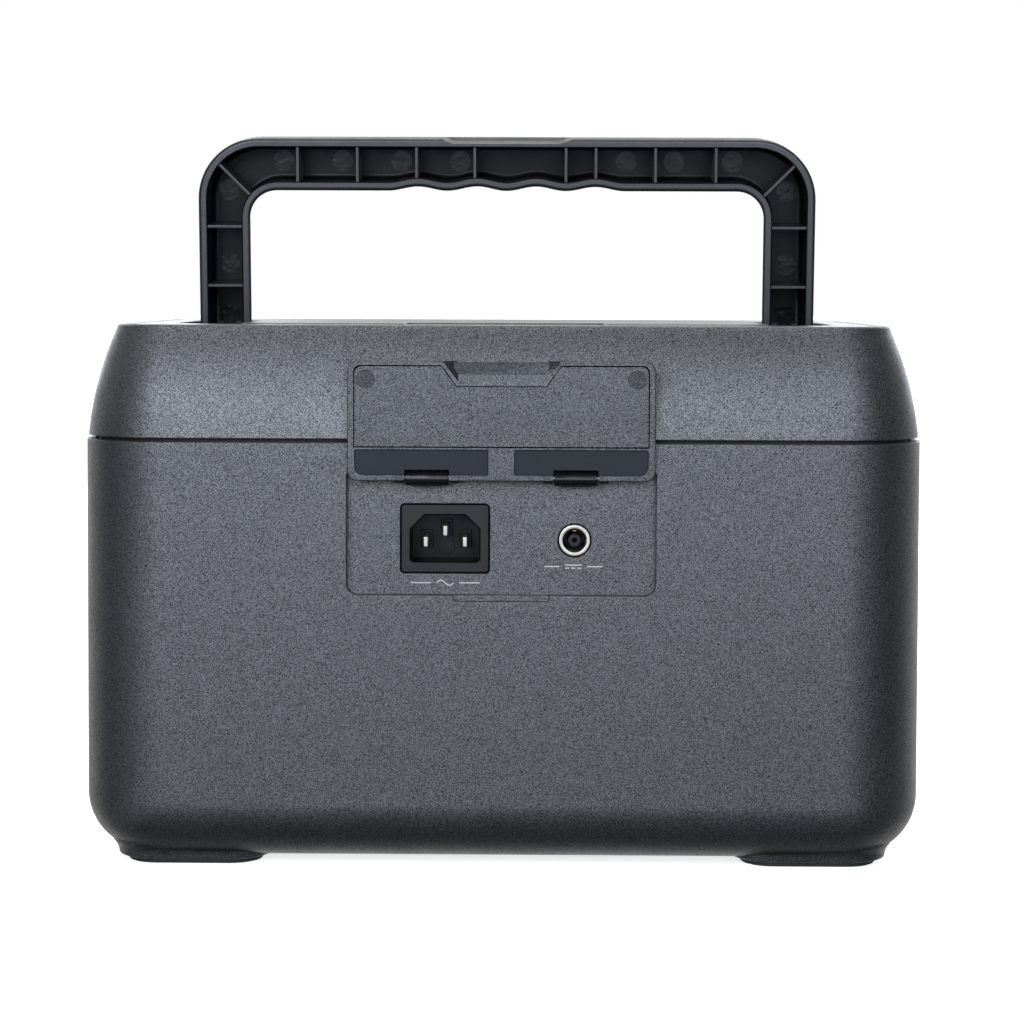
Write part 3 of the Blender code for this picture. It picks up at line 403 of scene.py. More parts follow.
# Near-black for the walls of the door's plate line: painted shade in the groove.
PAINTED_SHADE_LINE = satin("line_painted_shade", (6, 6, 7), 0.8, 0.3, 0.01, 0.0, Specular_IOR_Level=0.03)
GLOSS = satin("gloss_black_plastic", (18, 19, 22), 0.16, 2, 0.004)
GLASS = satin("display_glass", (10, 11, 13), 0.06, 6, 0.002, Coat_Weight=0.6)
RUBBER = satin("rubber_black", (30, 30, 31), 0.72, 0.3, 0.03)
NICKEL = bare_metal("nickel_plate", (150, 146, 136), 0.36)
STEEL = bare_metal("steel_bare", (176, 177, 180), 0.28, stretch=(0.15, 1, 1))
ALUMINIUM = bare_metal("aluminium_extruded", (190, 192, 195), 0.34, stretch=(1, 0.1, 1))
BRASS = bare_metal("brass_contact", (176, 128, 74), 0.3)
PRINT = satin("legend_print", (142, 140, 134), 0.5, 0.2, 0.01)
INSERT = satin("usb_insert", (34, 36, 40), 0.3, 0.3, 0.01)
LENS = satin("lamp_diffuser", (214, 215, 210), 0.28, 1.2, 0.03, Subsurface_Weight=0.25,
             Subsurface_Scale=0.002)
BOARD = board("board_green", (12, 62, 36), (190, 160, 90))
WRAP = satin("cell_wrap_blue", (40, 74, 132), 0.3, 1.5, 0.02)
WINDING = bare_metal("winding_copper", (184, 108, 62), 0.35, 0.6, 0.2, stretch=(0.05, 1, 1))


# --- shapes ---


def link(name, data):
    made = bpy.data.objects.new(name, data)
    bpy.context.scene.collection.objects.link(made)
    return made


def mesh_of(name, bm):
    mesh = bpy.data.meshes.new(name)
    bmesh.ops.recalc_face_normals(bm, faces=bm.faces)
    bm.to_mesh(mesh)
    bm.free()
    return mesh


def shape(name, bm, material, location=(0, 0, 0), rotation=(0, 0, 0), edge=0.0):
    """An object placed in the housing's frame, its edges rounded off."""
    made = link(name, mesh_of(name, bm))
    made.location = Vector(location) + BODY
    made.rotation_euler = rotation
    made.data.materials.append(material)
    if edge:
        soften(made, edge)
    return made


def block(name, size, centre, material, edge=0.0, rotation=(0, 0, 0)):
    bm = bmesh.new()
    bmesh.ops.create_cube(bm, size=1, matrix=Matrix.Diagonal((*size, 1)))
    return shape(name, bm, material, centre, rotation, edge)


def blocks(name, boxes, material, location=(0, 0, 0), edge=0.0):
    """Several boxes in one mesh, each given as (size, centre, turn about Y)."""
    bm = bmesh.new()
    for size, centre, turn in boxes:
        matrix = Matrix.Translation(centre) @ Matrix.Rotation(turn, 4, "Y") @ Matrix.Diagonal((*size, 1))
        bmesh.ops.create_cube(bm, size=1, matrix=matrix)
    return shape(name, bm, material, location, edge=edge)


def rod(name, radius, length, centre, axis, material, sides=48, edge=0.0):
    """A cylinder along the world's X, Y or Z."""
    bm = bmesh.new()
    bmesh.ops.create_cone(bm, cap_ends=True, segments=sides, radius1=radius, radius2=radius, depth=length)
    turn = {"X": (0, RIGHT_ANGLE, 0), "Y": TO_REAR, "Z": FLAT}[axis]
    return shape(name, bm, material, centre, turn, edge)


def turned(name, profile, centre, rotation, material, sides=64):
    """A profile of (radius, height) points turned about the local Z, closed on itself or on the axis."""
    bm = bmesh.new()
    rings = []
    for radius, height in profile:
        if radius == 0:
            rings.append([bm.verts.new((0, 0, height))])
        else:
            rings.append([bm.verts.new((x, y, height)) for x, y in circle(radius, sides)])
    hollow = profile[0][0] != 0
    for low_ring, high_ring in zip(rings, rings[1:] + rings[:1] if hollow else rings[1:]):
        skin(bm, low_ring, high_ring, sides)
    return shape(name, bm, material, centre, rotation)


def skin(bm, first, second, sides):
    for index in range(sides):
        after = (index + 1) % sides
        corners = [first[index % len(first)], first[after % len(first)]]
        corners += [second[after % len(second)], second[index % len(second)]]
        unique = [vert for place_, vert in enumerate(corners) if vert not in corners[:place_]]
        if len(unique) > 2:
            bm.faces.new(unique)


def arc(centre, radius, start, end, steps):
    """Points from angle start to angle end, in quarter turns."""
    angles = [RIGHT_ANGLE * (start + (end - start) * step / steps) for step in range(steps + 1)]
    return [(centre[0] + radius * cos(a), centre[1] + radius * sin(a)) for a in angles]


def bend(start, across, up, steps):
    """A quarter of an ellipse as (inset, height), from beside its start to above or below it."""
    angles = [RIGHT_ANGLE * step / steps for step in range(steps + 1)]
    return [(start[0] + across * (1 - cos(a)), start[1] + up * (1 - sin(a))) for a in angles]


def rounded(half, radius, steps=10, centre=(0, 0)):
    """A rectangle with round corners, anticlockwise."""
    loop = []
    for quarter, (sx, sy) in enumerate([(1, 1), (-1, 1), (-1, -1), (1, -1)]):
        corner = (centre[0] + sx * (half[0] - radius), centre[1] + sy * (half[1] - radius))
        loop += arc(corner, radius, quarter, quarter + 1, steps)
    return loop


def circle(radius, sides=64):
    return arc((0, 0), radius, 0, 4, sides)[:-1]


def grown(half, radius, centre=(0, 0), steps=10):
    """The rounded rectangle as a function of how far it is grown all round."""
    return lambda grow: rounded((half[0] + grow, half[1] + grow), radius + grow, steps, centre)


def plate(name, loops, thick, centre, rotation, material, edge=0.0):
    """Flat loops, the outer one first and then its holes, as a slab about the local XY plane."""
    curve = bpy.data.curves.new(name, "CURVE")
    curve.dimensions = "2D"
    curve.fill_mode = "BOTH"
    curve.extrude = thick / 2
    for loop in loops:
        spline = curve.splines.new("POLY")
        spline.points.add(len(loop) - 1)
        spline.use_cyclic_u = True
        for point, (x, y) in zip(spline.points, loop):
            point.co = (x, y, 0, 1)
    outline = link(name + "_outline", curve)
    bpy.context.view_layer.update()
    graph = bpy.context.evaluated_depsgraph_get()
    mesh = bpy.data.meshes.new_from_object(outline.evaluated_get(graph))
    bpy.data.objects.remove(outline, do_unlink=True)
    bm = bmesh.new()
    bm.from_mesh(mesh)
    bpy.data.meshes.remove(mesh)
    bmesh.ops.remove_doubles(bm, verts=bm.verts, dist=0.001 * MM)
    bmesh.ops.dissolve_limit(bm, angle_limit=0.001, verts=bm.verts, edges=bm.edges)
    return shape(name, bm, material, centre, rotation, edge)


def loft(name, rings, material, ring_closed=False, location=(0, 0, 0), rotation=(0, 0, 0)):
    """A skin through rings of equal point count. Its ends are capped, or joined to each other."""
    bm = bmesh.new()
    loops = [[bm.verts.new(point) for point in ring] for ring in rings]
    for lower, upper in zip(loops, loops[1:] + loops[:1] if ring_closed else loops[1:]):
        for a, b, c, d in zip(lower, lower[1:] + lower[:1], upper[1:] + upper[:1], upper):
            bm.faces.new((a, b, c, d))
    if not ring_closed:
        bm.faces.new(loops[0])
        bm.faces.new(loops[-1])
    return shape(name, bm, material, location, rotation)


def carve(target, outline, depth, edge, centre, rotation, material, foot=0.0):
    """Cuts a hole whose outline flares at the face, where height is 0, and narrows at its foot."""
    section = [(edge, WELL_CLEAR)] + bend((0, 0), edge, -edge, 4)[::-1]
    if foot:
        section += bend((0, -depth), -foot, foot, 4)
    else:
        section.append((0, -depth))
    rings = [[(x, y, height) for x, y in outline(grow)] for grow, height in section]
    cut(target, loft("well", rings, material, location=centre, rotation=rotation))


def soften(obj, width, angle=50, segments=3):
    bevel = obj.modifiers.new("edges", "BEVEL")
    bevel.width = width
    bevel.segments = segments
    bevel.limit_method = "ANGLE"
    bevel.angle_limit = radians(angle)
    bevel.use_clamp_overlap = False


def boolean(target, operation, tools):
    for tool in tools:
        step = target.modifiers.new(tool.name, "BOOLEAN")
        step.operation = operation
        step.solver = "EXACT"
        step.material_mode = "TRANSFER"
        step.object = tool


def cut(target, *tools):
    boolean(target, "DIFFERENCE", tools)


def join(target, *tools):
    boolean(target, "UNION", tools)


def settle(obj):
    """Applies the modifiers, puts the place in the mesh, and removes the tools."""
    bpy.context.view_layer.update()
    graph = bpy.context.evaluated_depsgraph_get()
    mesh = bpy.data.meshes.new_from_object(obj.evaluated_get(graph), depsgraph=graph)
    mesh.transform(obj.matrix_world)
    tools = [step.object for step in obj.modifiers if step.type == "BOOLEAN"]
    obj.modifiers.clear()
    obj.data = mesh
    obj.matrix_world = Matrix.Identity(4)
    for tool in tools:
        bpy.data.objects.remove(tool, do_unlink=True)


def piece(obj, slot, *nodes, body="housing", sharp=38):
    """Makes the object a finished piece that rides on a body and stands for CAD nodes."""
    settle(obj)
    obj.data.shade_smooth()
    obj.data.set_sharp_from_angle(angle=radians(sharp))
    shading = obj.modifiers.new("shading", "WEIGHTED_NORMAL")
    shading.keep_sharp = True
    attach(obj, body)
    if nodes:
        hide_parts(*nodes)
    return obj


def plan_ring(inset, z):
    """The housing's outline in plan, drawn in by the inset."""
    half = (HALF_WIDTH - inset, HALF_DEPTH - inset)
    return [(x, y, z) for x, y in rounded(half, PLAN_RADIUS - inset, 20)]


def upper_inset(z):
    """How far the upper housing leans in from the lower one at a height."""
    rise = (z - SEAM_LOW_Z) / MM
    return UPPER_STEP + (0.0757 * rise + 0.004576 * rise**2) * MM


def front(u_z, y):
    """A point on the front panel, from its (u, z)."""
    return vec(-u_z[0], y, u_z[1])


# --- housing ---


def lower_housing():
    inner = FLOOR_RADIUS - WALL
    section = bend((0, FLOOR_Z), FLOOR_RADIUS, FLOOR_RADIUS, 16)[::-1]
    section += bend((0, SEAM_LOW_Z), SEAM_EDGE, -SEAM_EDGE, 3)
    section += [(WALL, SEAM_LOW_Z)] + bend((WALL, FLOOR_Z + WALL), inner, inner, 8)
    housing = loft("lower_shell", [plan_ring(*point) for point in section], CASE)
    for sx, sy in CORNERS.values():
        centre = (sx * FOOT_CENTRE.x, sy * FOOT_CENTRE.y)
        rings = []
        for grow, z in FOOT_FLARE:
            half = FOOT_HALF + vec(grow, grow)
            rings.append([(x, y, z) for x, y in rounded(half, FOOT_RADIUS + grow, 12, centre)])
        join(housing, loft("foot_base", rings, CASE))
    rear = Vector((PORT_X, -HALF_DEPTH, (PORT_HIGH_Z + PORT_LOW_Z) / 2))
    half = (PORT_HALF_WIDTH, (PORT_HIGH_Z - PORT_LOW_Z) / 2)
    carve(housing, grown(half, PORT_RADIUS), 6 * MM, 0.35 * MM, rear, TO_REAR, CASE)
    scoop = (PORT_X, -HALF_DEPTH, PORT_LOW_Z + 0.2 * MM)
    outline = grown(mm(17, 2.3), 0.8 * MM, steps=4)
    carve(housing, outline, 0.5 * MM, 0.45 * MM, scoop, TO_REAR, CASE, foot=0.3 * MM)
    window = (0, HALF_DEPTH, FRONT_Z)
    carve(housing, grown(FRONT_HALF, FRONT_RADIUS), 6 * MM, 0.4 * MM, window, TO_FRONT, CASE)
    for x in SIDES.values():
        vent, rotation = (x * HALF_WIDTH, VENT_Y, VENT_Z), (RIGHT_ANGLE, 0, x * RIGHT_ANGLE)
        carve(housing, grown(VENT_HALF, 1.4 * MM, steps=4), 6 * MM, 0.4 * MM, vent, rotation, CASE)
    piece(housing, "case", "lower_housing")


def upper_housing():
    low_z, high_z = SEAM_HIGH_Z + SEAM_EDGE, DECK_Z - DECK_EDGE_RADIUS
    lean = [low_z + (high_z - low_z) * step / 14 for step in range(15)]
    edge = upper_inset(high_z)
    rim = edge + DECK_EDGE_RADIUS + DECK_RIM
    shelf_z = DECK_Z - DECK_PLATE - GAP
    fillet = 0.4 * MM
    section = bend((upper_inset(SEAM_HIGH_Z), SEAM_HIGH_Z), SEAM_EDGE, SEAM_EDGE, 3)[::-1]
    section += [(upper_inset(z), z) for z in lean[1:]]
    section += bend((edge, DECK_Z), DECK_EDGE_RADIUS, -DECK_EDGE_RADIUS, 6)[1:]
    section += bend((rim, DECK_Z), -fillet, -fillet, 3)[::-1]
    section += [(rim, shelf_z), (rim + DECK_SHELF, shelf_z), (rim + DECK_SHELF, shelf_z - WALL)]
    section += [(upper_inset(z) + WALL, z) for z in (shelf_z - WALL, *lean[-3:0:-3], SEAM_HIGH_Z)]
    housing = loft("upper_shell", [plan_ring(*point) for point in section], CASE, ring_closed=True)
    piece(housing, "case", "upper_housing")
    return rim


def groove_loop(grow):
    """The handle's outline laid on the deck and grown all round."""
    reach = HANDLE_AXIS.y - HANDLE_REACH
    front_y = HANDLE_AXIS.y + HANDLE_HALF_DEPTH + grow
    outer = HANDLE_HALF_WIDTH + grow
    leg = HANDLE_HALF_WIDTH - LEG_WIDTH - grow
    bar = reach + GRIP_HEIGHT + grow
    radius = HANDLE_RADIUS + grow
    corner = reach - grow + radius
    loop = arc((-(outer - radius), corner), radius, 2, 3, 16)
    loop += arc((outer - radius, corner), radius, 3, 4, 16)
    inner_radius = INNER_RADIUS - grow
    loop += [(outer, front_y), (leg, front_y)]
    loop += arc((leg - inner_radius, bar + inner_radius), inner_radius, 4, 3, 8)
    loop += arc((-(leg - inner_radius), bar + inner_radius), inner_radius, 3, 2, 8)
    return loop + [(-leg, front_y), (-outer, front_y)]


def top_deck(rim):
    half = (HALF_WIDTH - rim - GAP, HALF_DEPTH - rim - GAP)
    outline = rounded(half, PLAN_RADIUS - rim, 16)
    deck = plate("deck_top", [outline], DECK_PLATE, (0, 0, DECK_Z - DECK_PLATE / 2), FLAT, DECK, 0.4 * MM)
    floor_z = HANDLE_AXIS.z - HANDLE_HALF_DEPTH - GAP
    bottom, top = floor_z - TRAY_WALL, DECK_Z - 1 * MM
    walls = groove_loop(GROOVE_GAP + TRAY_WALL)
    trough = plate("trough", [walls], top - bottom, (0, 0, (bottom + top) / 2), FLAT, DECK)
    join(deck, trough, block("lift_walls", mm(80, 24, 14), (0, -32 * MM, DECK_Z - 8 * MM), DECK))
    mouth = (0, 0, DECK_Z)
    groove = lambda grow: groove_loop(GROOVE_GAP + grow)
    carve(deck, groove, DECK_Z - floor_z, 0.5 * MM, mouth, FLAT, DECK, 0.8 * MM)
    outline = grown(mm(38, 11), 3 * MM, steps=6)
    carve(deck, outline, 12 * MM, 0.6 * MM, (0, -33 * MM, DECK_Z), FLAT, DECK, 2 * MM)
    cut(deck, rod("pivot_hole", PIVOT_PIN_RADIUS + 0.3 * MM, 270 * MM, HANDLE_AXIS, "X", DECK))
    piece(deck, "case", "top_deck")


def feet():
    for name, (sx, sy) in CORNERS.items():
        thick = FOOT_FACE_Z - 0.3 * MM
        half = FOOT_HALF - vec(PAD_MARGIN, PAD_MARGIN)
        centre = vec(sx * FOOT_CENTRE.x, sy * FOOT_CENTRE.y, thick / 2)
        outline = rounded(half, FOOT_RADIUS - PAD_MARGIN)
        pad = plate(f"pad_{name}", [outline], thick, centre, FLAT, RUBBER, 0.5 * MM)
        for row in range(-2, 3):
            spot = centre + vec(0, row * 6 * MM, -thick / 2)
            cut(pad, block("tread", mm(60, 1.2, 1.2), spot, RUBBER))
        piece(pad, "rubber", f"foot_pad_{name}")


def vents():
    pitch = VENT_HALF.y * 2 / (VENT_SLOTS + 1)
    for side, x in SIDES.items():
        loops = [rounded(VENT_HALF - vec(GAP, GAP), 1 * MM, 4)]
        rows = [(row - (VENT_SLOTS - 1) / 2) * pitch for row in range(VENT_SLOTS)]
        for row in rows:
            loops.append(rounded((VENT_HALF.x - 5 * MM, 1.6 * MM), 1.55 * MM, 6, (0, row)))
        centre = Vector((x * (HALF_WIDTH - 1.3 * MM), VENT_Y, VENT_Z))
        grille = plate(f"grille_{side}", loops, 2.6 * MM, centre, TO_SIDE, BLACK, 0.3 * MM)
        for row in rows:
            size = (5 * MM, 2 * VENT_HALF.x - 8 * MM, 0.8 * MM)
            spot = centre + vec(-x * 3 * MM, 0, row - 2.2 * MM)
            join(grille, block("slat", size, spot, BLACK, 0.2 * MM, (0, x * radians(28), 0)))
        piece(grille, "black_moulding", f"vent_grille_{side}")


# --- rear ports ---


def port_panel():
    bottom, top = PORT_LOW_Z - PANEL_MARGIN, PANEL_TOP_Z
    middle = (bottom + top) / 2
    outer = rounded((PORT_HALF_WIDTH + PANEL_MARGIN, (top - bottom) / 2), 3 * MM, 4)
    slots = [
        rounded(mm(6, 2.2), 0.6 * MM, 3, (x, DOOR_AXIS.z - 0.4 * MM - middle)) for x in HINGE_X
    ]
    centre = (PORT_X, PANEL_FACE_Y + PANEL_THICK / 2, middle)
    panel = plate("port_plate", [outer, *slots], PANEL_THICK, centre, TO_REAR, CASE)
    edge = 0.25 * MM
    outline = grown(INLET_HALF + vec(GAP, GAP), 1.6 * MM, steps=6)
    carve(panel, outline, 5 * MM, edge, (INLET.x, PANEL_FACE_Y, INLET.z), TO_REAR, CASE)
    jack = (JACK.x, PANEL_FACE_Y, JACK.z)
    carve(panel, lambda grow: circle(JACK_RADIUS + GAP + grow), 5 * MM, edge, jack, TO_REAR, CASE)
    piece(panel, "case", "port_panel")


def cavity_loop(grow):
    """The mains inlet's mouth: a rectangle whose upper corners are cut off."""
    w, h, c = CAVITY_HALF.x + grow, CAVITY_HALF.y + grow, CAVITY_CHAMFER + 0.59 * grow
    r = 1.2 * MM
    loop = arc((w - r, r - h), r, 3, 4, 4)
    loop += [(w, h - c), (w - c, h), (c - w, h), (-w, h - c)]
    return loop + arc((r - w, r - h), r, 2, 3, 4)


def ac_inlet():
    face = vec(INLET.x, PANEL_FACE_Y, INLET.z)
    half = 1.5 * MM
    outline = rounded(INLET_HALF, 1.2 * MM, 6)
    inlet = plate(
        "inlet_body", [outline], 2 * half, face + vec(0, half, 0), TO_REAR, BEZEL, 0.35 * MM
    )
    depth = INLET_DEPTH - half
    # Shell, cavity, boss, collars and slots take the darker well colour: painted shade inside the inlet's
    # recess.
    join(inlet, block("shell", (28.4 * MM, depth, 21 * MM), face + vec(0, half + depth / 2, 0), WELL_BLACK_AND_SHADE))
    carve(inlet, cavity_loop, CAVITY_DEPTH, 0.5 * MM, face, TO_REAR, WELL_BLACK_AND_SHADE)
    floor = face + vec(0, CAVITY_DEPTH, 0)
    join(inlet, rod("boss", 3 * MM, 0.8 * MM, floor - mm(0, 0, 4.4), "Y", WELL_BLACK_AND_SHADE, 32, 0.15 * MM))
    for x, z in PINS.values():
        join(inlet, block("collar", mm(4.4, 1, 6.4), floor + vec(x, 0, z), WELL_BLACK_AND_SHADE, 0.3 * MM))
        cut(inlet, block("slot", mm(2.4, 12, 4.4), face + vec(x, 18.5 * MM, z), WELL_BLACK_AND_SHADE))
    piece(inlet, "black_moulding", "ac_inlet")
    for name, (x, z) in PINS.items():
        pin = block(f"pin_{name}", mm(2, 24, 4), face + vec(x, 14.5 * MM, z), NICKEL, 0.55 * MM)
        piece(pin, "nickel", f"ac_pin_{name}")


def dc_jack():
    face = vec(JACK.x, PANEL_FACE_Y, JACK.z)
    e = 0.3 * MM
    ring = [
        (JACK_RADIUS, -e), (JACK_RADIUS, -JACK_LONG), (JACK_BORE, -JACK_LONG), (JACK_BORE, -1.6 * e),
        (JACK_BORE + 0.5 * e, -0.5 * e), (JACK_BORE + 1.4 * e, 0), (JACK_RADIUS - e, 0),
        (JACK_RADIUS - 0.3 * e, -0.3 * e),
    ]
    sleeve = turned("jack_sleeve", ring, face, TO_REAR, NICKEL)
    piece(sleeve, "nickel", "dc_jack_sleeve")
    post, base, back = 2.4 * MM, 3.7 * MM, 7 * MM
    tip, bore = -1.5 * MM, 0.65 * MM
    long = JACK_LONG
    core = [
        (0, tip - 7 * MM), (bore, tip - 7 * MM), (bore, tip - 0.35 * MM), (bore + 0.35 * MM, tip),
        (post - 0.3 * MM, tip), (post, tip - 0.3 * MM), (post, 3 * MM - long), (base, 3 * MM - long),
        (base, -long - 0.3 * MM), (back, -long - 0.3 * MM), (back, -long - 6 * MM), (0, -long - 6 * MM),
    ]
    centre = turned("jack_core", core, face, TO_REAR, BEZEL)
    piece(centre, "black_moulding", "dc_jack_core")
    spot = face + mm(0, 6.4, 3.3)
    piece(block("jack_contact", mm(1.3, 8, 0.5), spot, BRASS, 0.15 * MM), "nickel")


def notch_ring(share, edge, face, grow=0.0):
    """The finger notch at a share of the door's thickness, 0 at its inner face and 1 at its outer one."""
    mouth, depth = (size[0] + (size[1] - size[0]) * share for size in (NOTCH_MOUTH, NOTCH_DEPTH))
    mouth, depth, floor = mouth + 1.15 * grow, depth + grow, NOTCH_FLOOR + 0.6 * grow
    y = face + DOOR_THICK * share
    above = edge + 1 * MM
    half = mouth + (mouth - floor) / depth * (above - edge)
    return [(half, y, above), (floor, y, edge - depth), (-floor, y, edge - depth), (-half, y, above)]


def door_outline(inset, top_inset, low):
    """The door's outline drawn in, open at the hinge side, with the notch in its upper edge."""
    half, r = DOOR_HALF_WIDTH - inset, PORT_RADIUS - 1.5 * MM
    top = DOOR_TOP_Z - DOOR_AXIS.z - top_inset
    slope = (NOTCH_MOUTH.x - NOTCH_FLOOR) / NOTCH_DEPTH.x
    foot = DOOR_TOP_Z - DOOR_AXIS.z - NOTCH_DEPTH.x - 0.7 * top_inset
    floor = NOTCH_FLOOR + 0.35 * top_inset
    mouth = floor + slope * (top - foot)
    loop = [(half, low)] + arc((half - r, top - r), r, 0, 1, 6)
    loop += [(mouth, top), (floor, foot), (-floor, foot), (-mouth, top)]
    return loop + arc((r - half, top - r), r, 1, 2, 6) + [(-half, low)]


def pocket_loop(turn, grow):
    """A magnet pocket, whose outer lower corner follows the door's own corner."""
    w, h, small, large = 23.6 * MM + grow, 4.45 * MM + grow, 0.6 * MM + grow, 3 * MM + grow
    left, right = (large, small) if turn < 0 else (small, large)
    loop = arc((w - small, h - small), small, 0, 1, 4) + arc((small - w, h - small), small, 1, 2, 4)
    return loop + arc((left - w, left - h), left, 2, 3, 8) + arc((w - right, right - h), right, 3, 4, 8)


def port_door():
    axis = DOOR_AXIS
    edge = (DOOR_TOP_Z - DOOR_AXIS.z, -DOOR_BELOW_AXIS)
    half, r = DOOR_HALF_WIDTH, PORT_RADIUS
    loop = arc((half - r, edge[0] - r), r, 0, 1, 10)
    loop += arc((r - half, edge[0] - r), r, 1, 2, 10)
    loop += arc((r - half, edge[1] + r), r, 2, 3, 10)
    loop += arc((half - r, edge[1] + r), r, 3, 4, 10)
    middle = -DOOR_BACK - DOOR_THICK / 2
    door = plate("door_leaf", [loop], DOOR_THICK, axis + vec(0, middle, 0), TO_REAR, DOOR, 0.4 * MM)
    face = middle - DOOR_THICK / 2
    rings = [notch_ring(share, edge[0], face) for share in (-0.2, 1.2)]
    cut(door, loft("finger_notch", rings, DOOR, location=axis))
    # A thin dark wall closes the back of the finger notch: painted shade where the housing behind the door
    # lies in shadow.
    back = vec(2 * NOTCH_MOUTH.y + 1 * MM, NOTCH_SHADE_WALL, NOTCH_DEPTH.x)
    back_y, back_z = (DOOR_THICK - NOTCH_SHADE_WALL) / 2 - 0.05 * MM, edge[0] - NOTCH_DEPTH.x / 2 - 0.4 * MM
    join(door, block("notch_shade_wall", back, axis + vec(0, middle + back_y, back_z), MAGNET_COVER_AND_NOTCH_SHADE, 0.2 * MM))
    plate_low, line = 10.9 * MM, 0.45 * MM
    outer = door_outline(2.1 * MM, 1.5 * MM, plate_low)
    inner = door_outline(2.1 * MM + line, 1.5 * MM + line, plate_low + line)
    # The plate line's walls take the near-black line colour, which is painted shade in the groove.
    cut(door, plate("plate_line", [outer, inner], 1.2 * MM, axis + vec(0, face, 0), TO_REAR, PAINTED_SHADE_LINE))
    for turn in SIDES.values():
        spot = axis + vec(turn * 28.3 * MM, face, 5.7 * MM)
        outline = partial(pocket_loop, turn)
        carve(door, outline, 0.8 * MM, 0.15 * MM, spot, TO_REAR, POCKET, foot=0.2 * MM)
        spot = axis + vec(turn * 48 * MM, face, 35.2 * MM)
        cut(door, rod("magnet_seat", 3.3 * MM, 3 * MM, spot, "Y", DOOR))
    for x in HINGE_X:
        centre = axis + vec(x, 0, 0)
        room = Vector((2 * (BARREL_HALF + GAP), 4 * DOOR_THICK, 2 * (BARREL_RADIUS + GAP)))
        cut(door, block("hinge_room", room, centre, DOOR))
        for turn in (-1, 1):
            spot = centre + Vector((turn * (BARREL_HALF + GAP + EAR_WIDTH / 2), 0, 0))
            join(door, rod("ear", EAR_RADIUS, EAR_WIDTH, spot, "X", DOOR, 32, 0.3 * MM))
        long = 2 * (BARREL_HALF + EAR_WIDTH - 0.6 * MM)
        cut(door, rod("hinge_hole", HINGE_PIN_RADIUS + 0.3 * MM, long, centre, "X", DOOR, 24))
    piece(door, "case", "port_door", body="charging_door")
    for side, turn in SIDES.items():
        cover = turned(
            f"magnet_cover_{side}",
            [(0, 0), mm(3.15, 0), mm(3.2, -0.05), mm(3.2, -1.2), mm(0, -1.2)],
            axis + vec(turn * 48 * MM, face + 0.05 * MM, 35.2 * MM), TO_REAR, MAGNET_COVER_AND_NOTCH_SHADE,
        )
        piece(cover, "case", f"door_magnet_{side}", body="charging_door")


def door_hinges():
    for side, x in zip(("left", "right"), HINGE_X):
        centre = DOOR_AXIS + vec(x, 0, 0)
        lug = rod(f"hinge_barrel_{side}", BARREL_RADIUS, 2 * BARREL_HALF, centre, "X", GLOSS, 48, 0.35 * MM)
        # The web under the barrel takes the darker channel colour: painted shade in the slot.
        join(
            lug, block("arm", mm(11, 8, 3.4), centre + mm(0, 5, -0.4), GLOSS, 0.3 * MM),
            block("web", mm(11, 3, 3.2), centre + mm(0, 0.2, -1.3), CHANNEL_PAINTED_SHADE, 0.3 * MM),
        )
        cut(lug, rod("lug_hole", HINGE_PIN_RADIUS + 0.3 * MM, 40 * MM, centre, "X", GLOSS, 24))
        piece(lug, "gloss_black", f"hinge_lug_{side}")


def sign(name, strokes, centre, width, rotation, body="housing", slot="case"):
    """A printed sign: thin strokes, each a run of points, lying just proud of the face."""
    bm = bmesh.new()
    for stroke in strokes:
        sides = []
        for index, (x, y) in enumerate(stroke):
            before, after = stroke[max(index - 1, 0)], stroke[min(index + 1, len(stroke) - 1)]
            along = vec(after[0] - before[0], after[1] - before[1]).normalized()
            across = vec(-along.y, along.x) * width / 2
            sides.append(
                [bm.verts.new((x + turn * across.x, y + turn * across.y, 0)) for turn in (1, -1)]
            )
        for (a, b), (c, d) in zip(sides, sides[1:]):
            bm.faces.new((a, b, d, c))
    made = shape(name, bm, PRINT, centre, rotation)
    solid = made.modifiers.new("ink", "SOLIDIFY")
    solid.thickness = 0.06 * MM
    solid.offset = 0
    piece(made, slot, body=body)


def wave(centre_x, half, height, steps=24):
    """One period of a sine, which marks alternating current."""
    return [
        (centre_x + half * (2 * step / steps - 1), -height * sin(pi * (2 * step / steps - 1)))
        for step in range(steps + 1)
    ]


def dash(left, right, height=0):
    return pairs((left, height), (right, height))


def port_signs():
    y = PANEL_FACE_Y - 0.02 * MM
    bars = [dash(-12.3, -5), dash(5, 12.3)]
    sign("sign_ac", [wave(0, 3 * MM, 0.9 * MM), *bars], (-20 * MM, y, 104.3 * MM), 0.4 * MM, TO_REAR)
    strokes = [dash(x - 0.7, x + 0.7, -0.55) for x in (-2.2, 0, 2.2)] + [dash(-3, 3, 0.55)]
    strokes += [dash(-10.4, -5), dash(5, 10.4)]
    sign("sign_dc", strokes, (25.7 * MM, y, 110.3 * MM), 0.4 * MM, TO_REAR)


# --- handle ---


def finger_wave(x):
    """Rise of the grip's underside into the finger grooves, which are deepest at the middle."""
    span = FINGERS * FINGER_PITCH / 2
    if abs(x) >= span:
        return 0.0
    shallower = 1 - 0.12 * abs(x) / span
    return FINGER_DEPTH * shallower * (1 - cos(2 * pi * (x + span) / FINGER_PITCH)) / 2


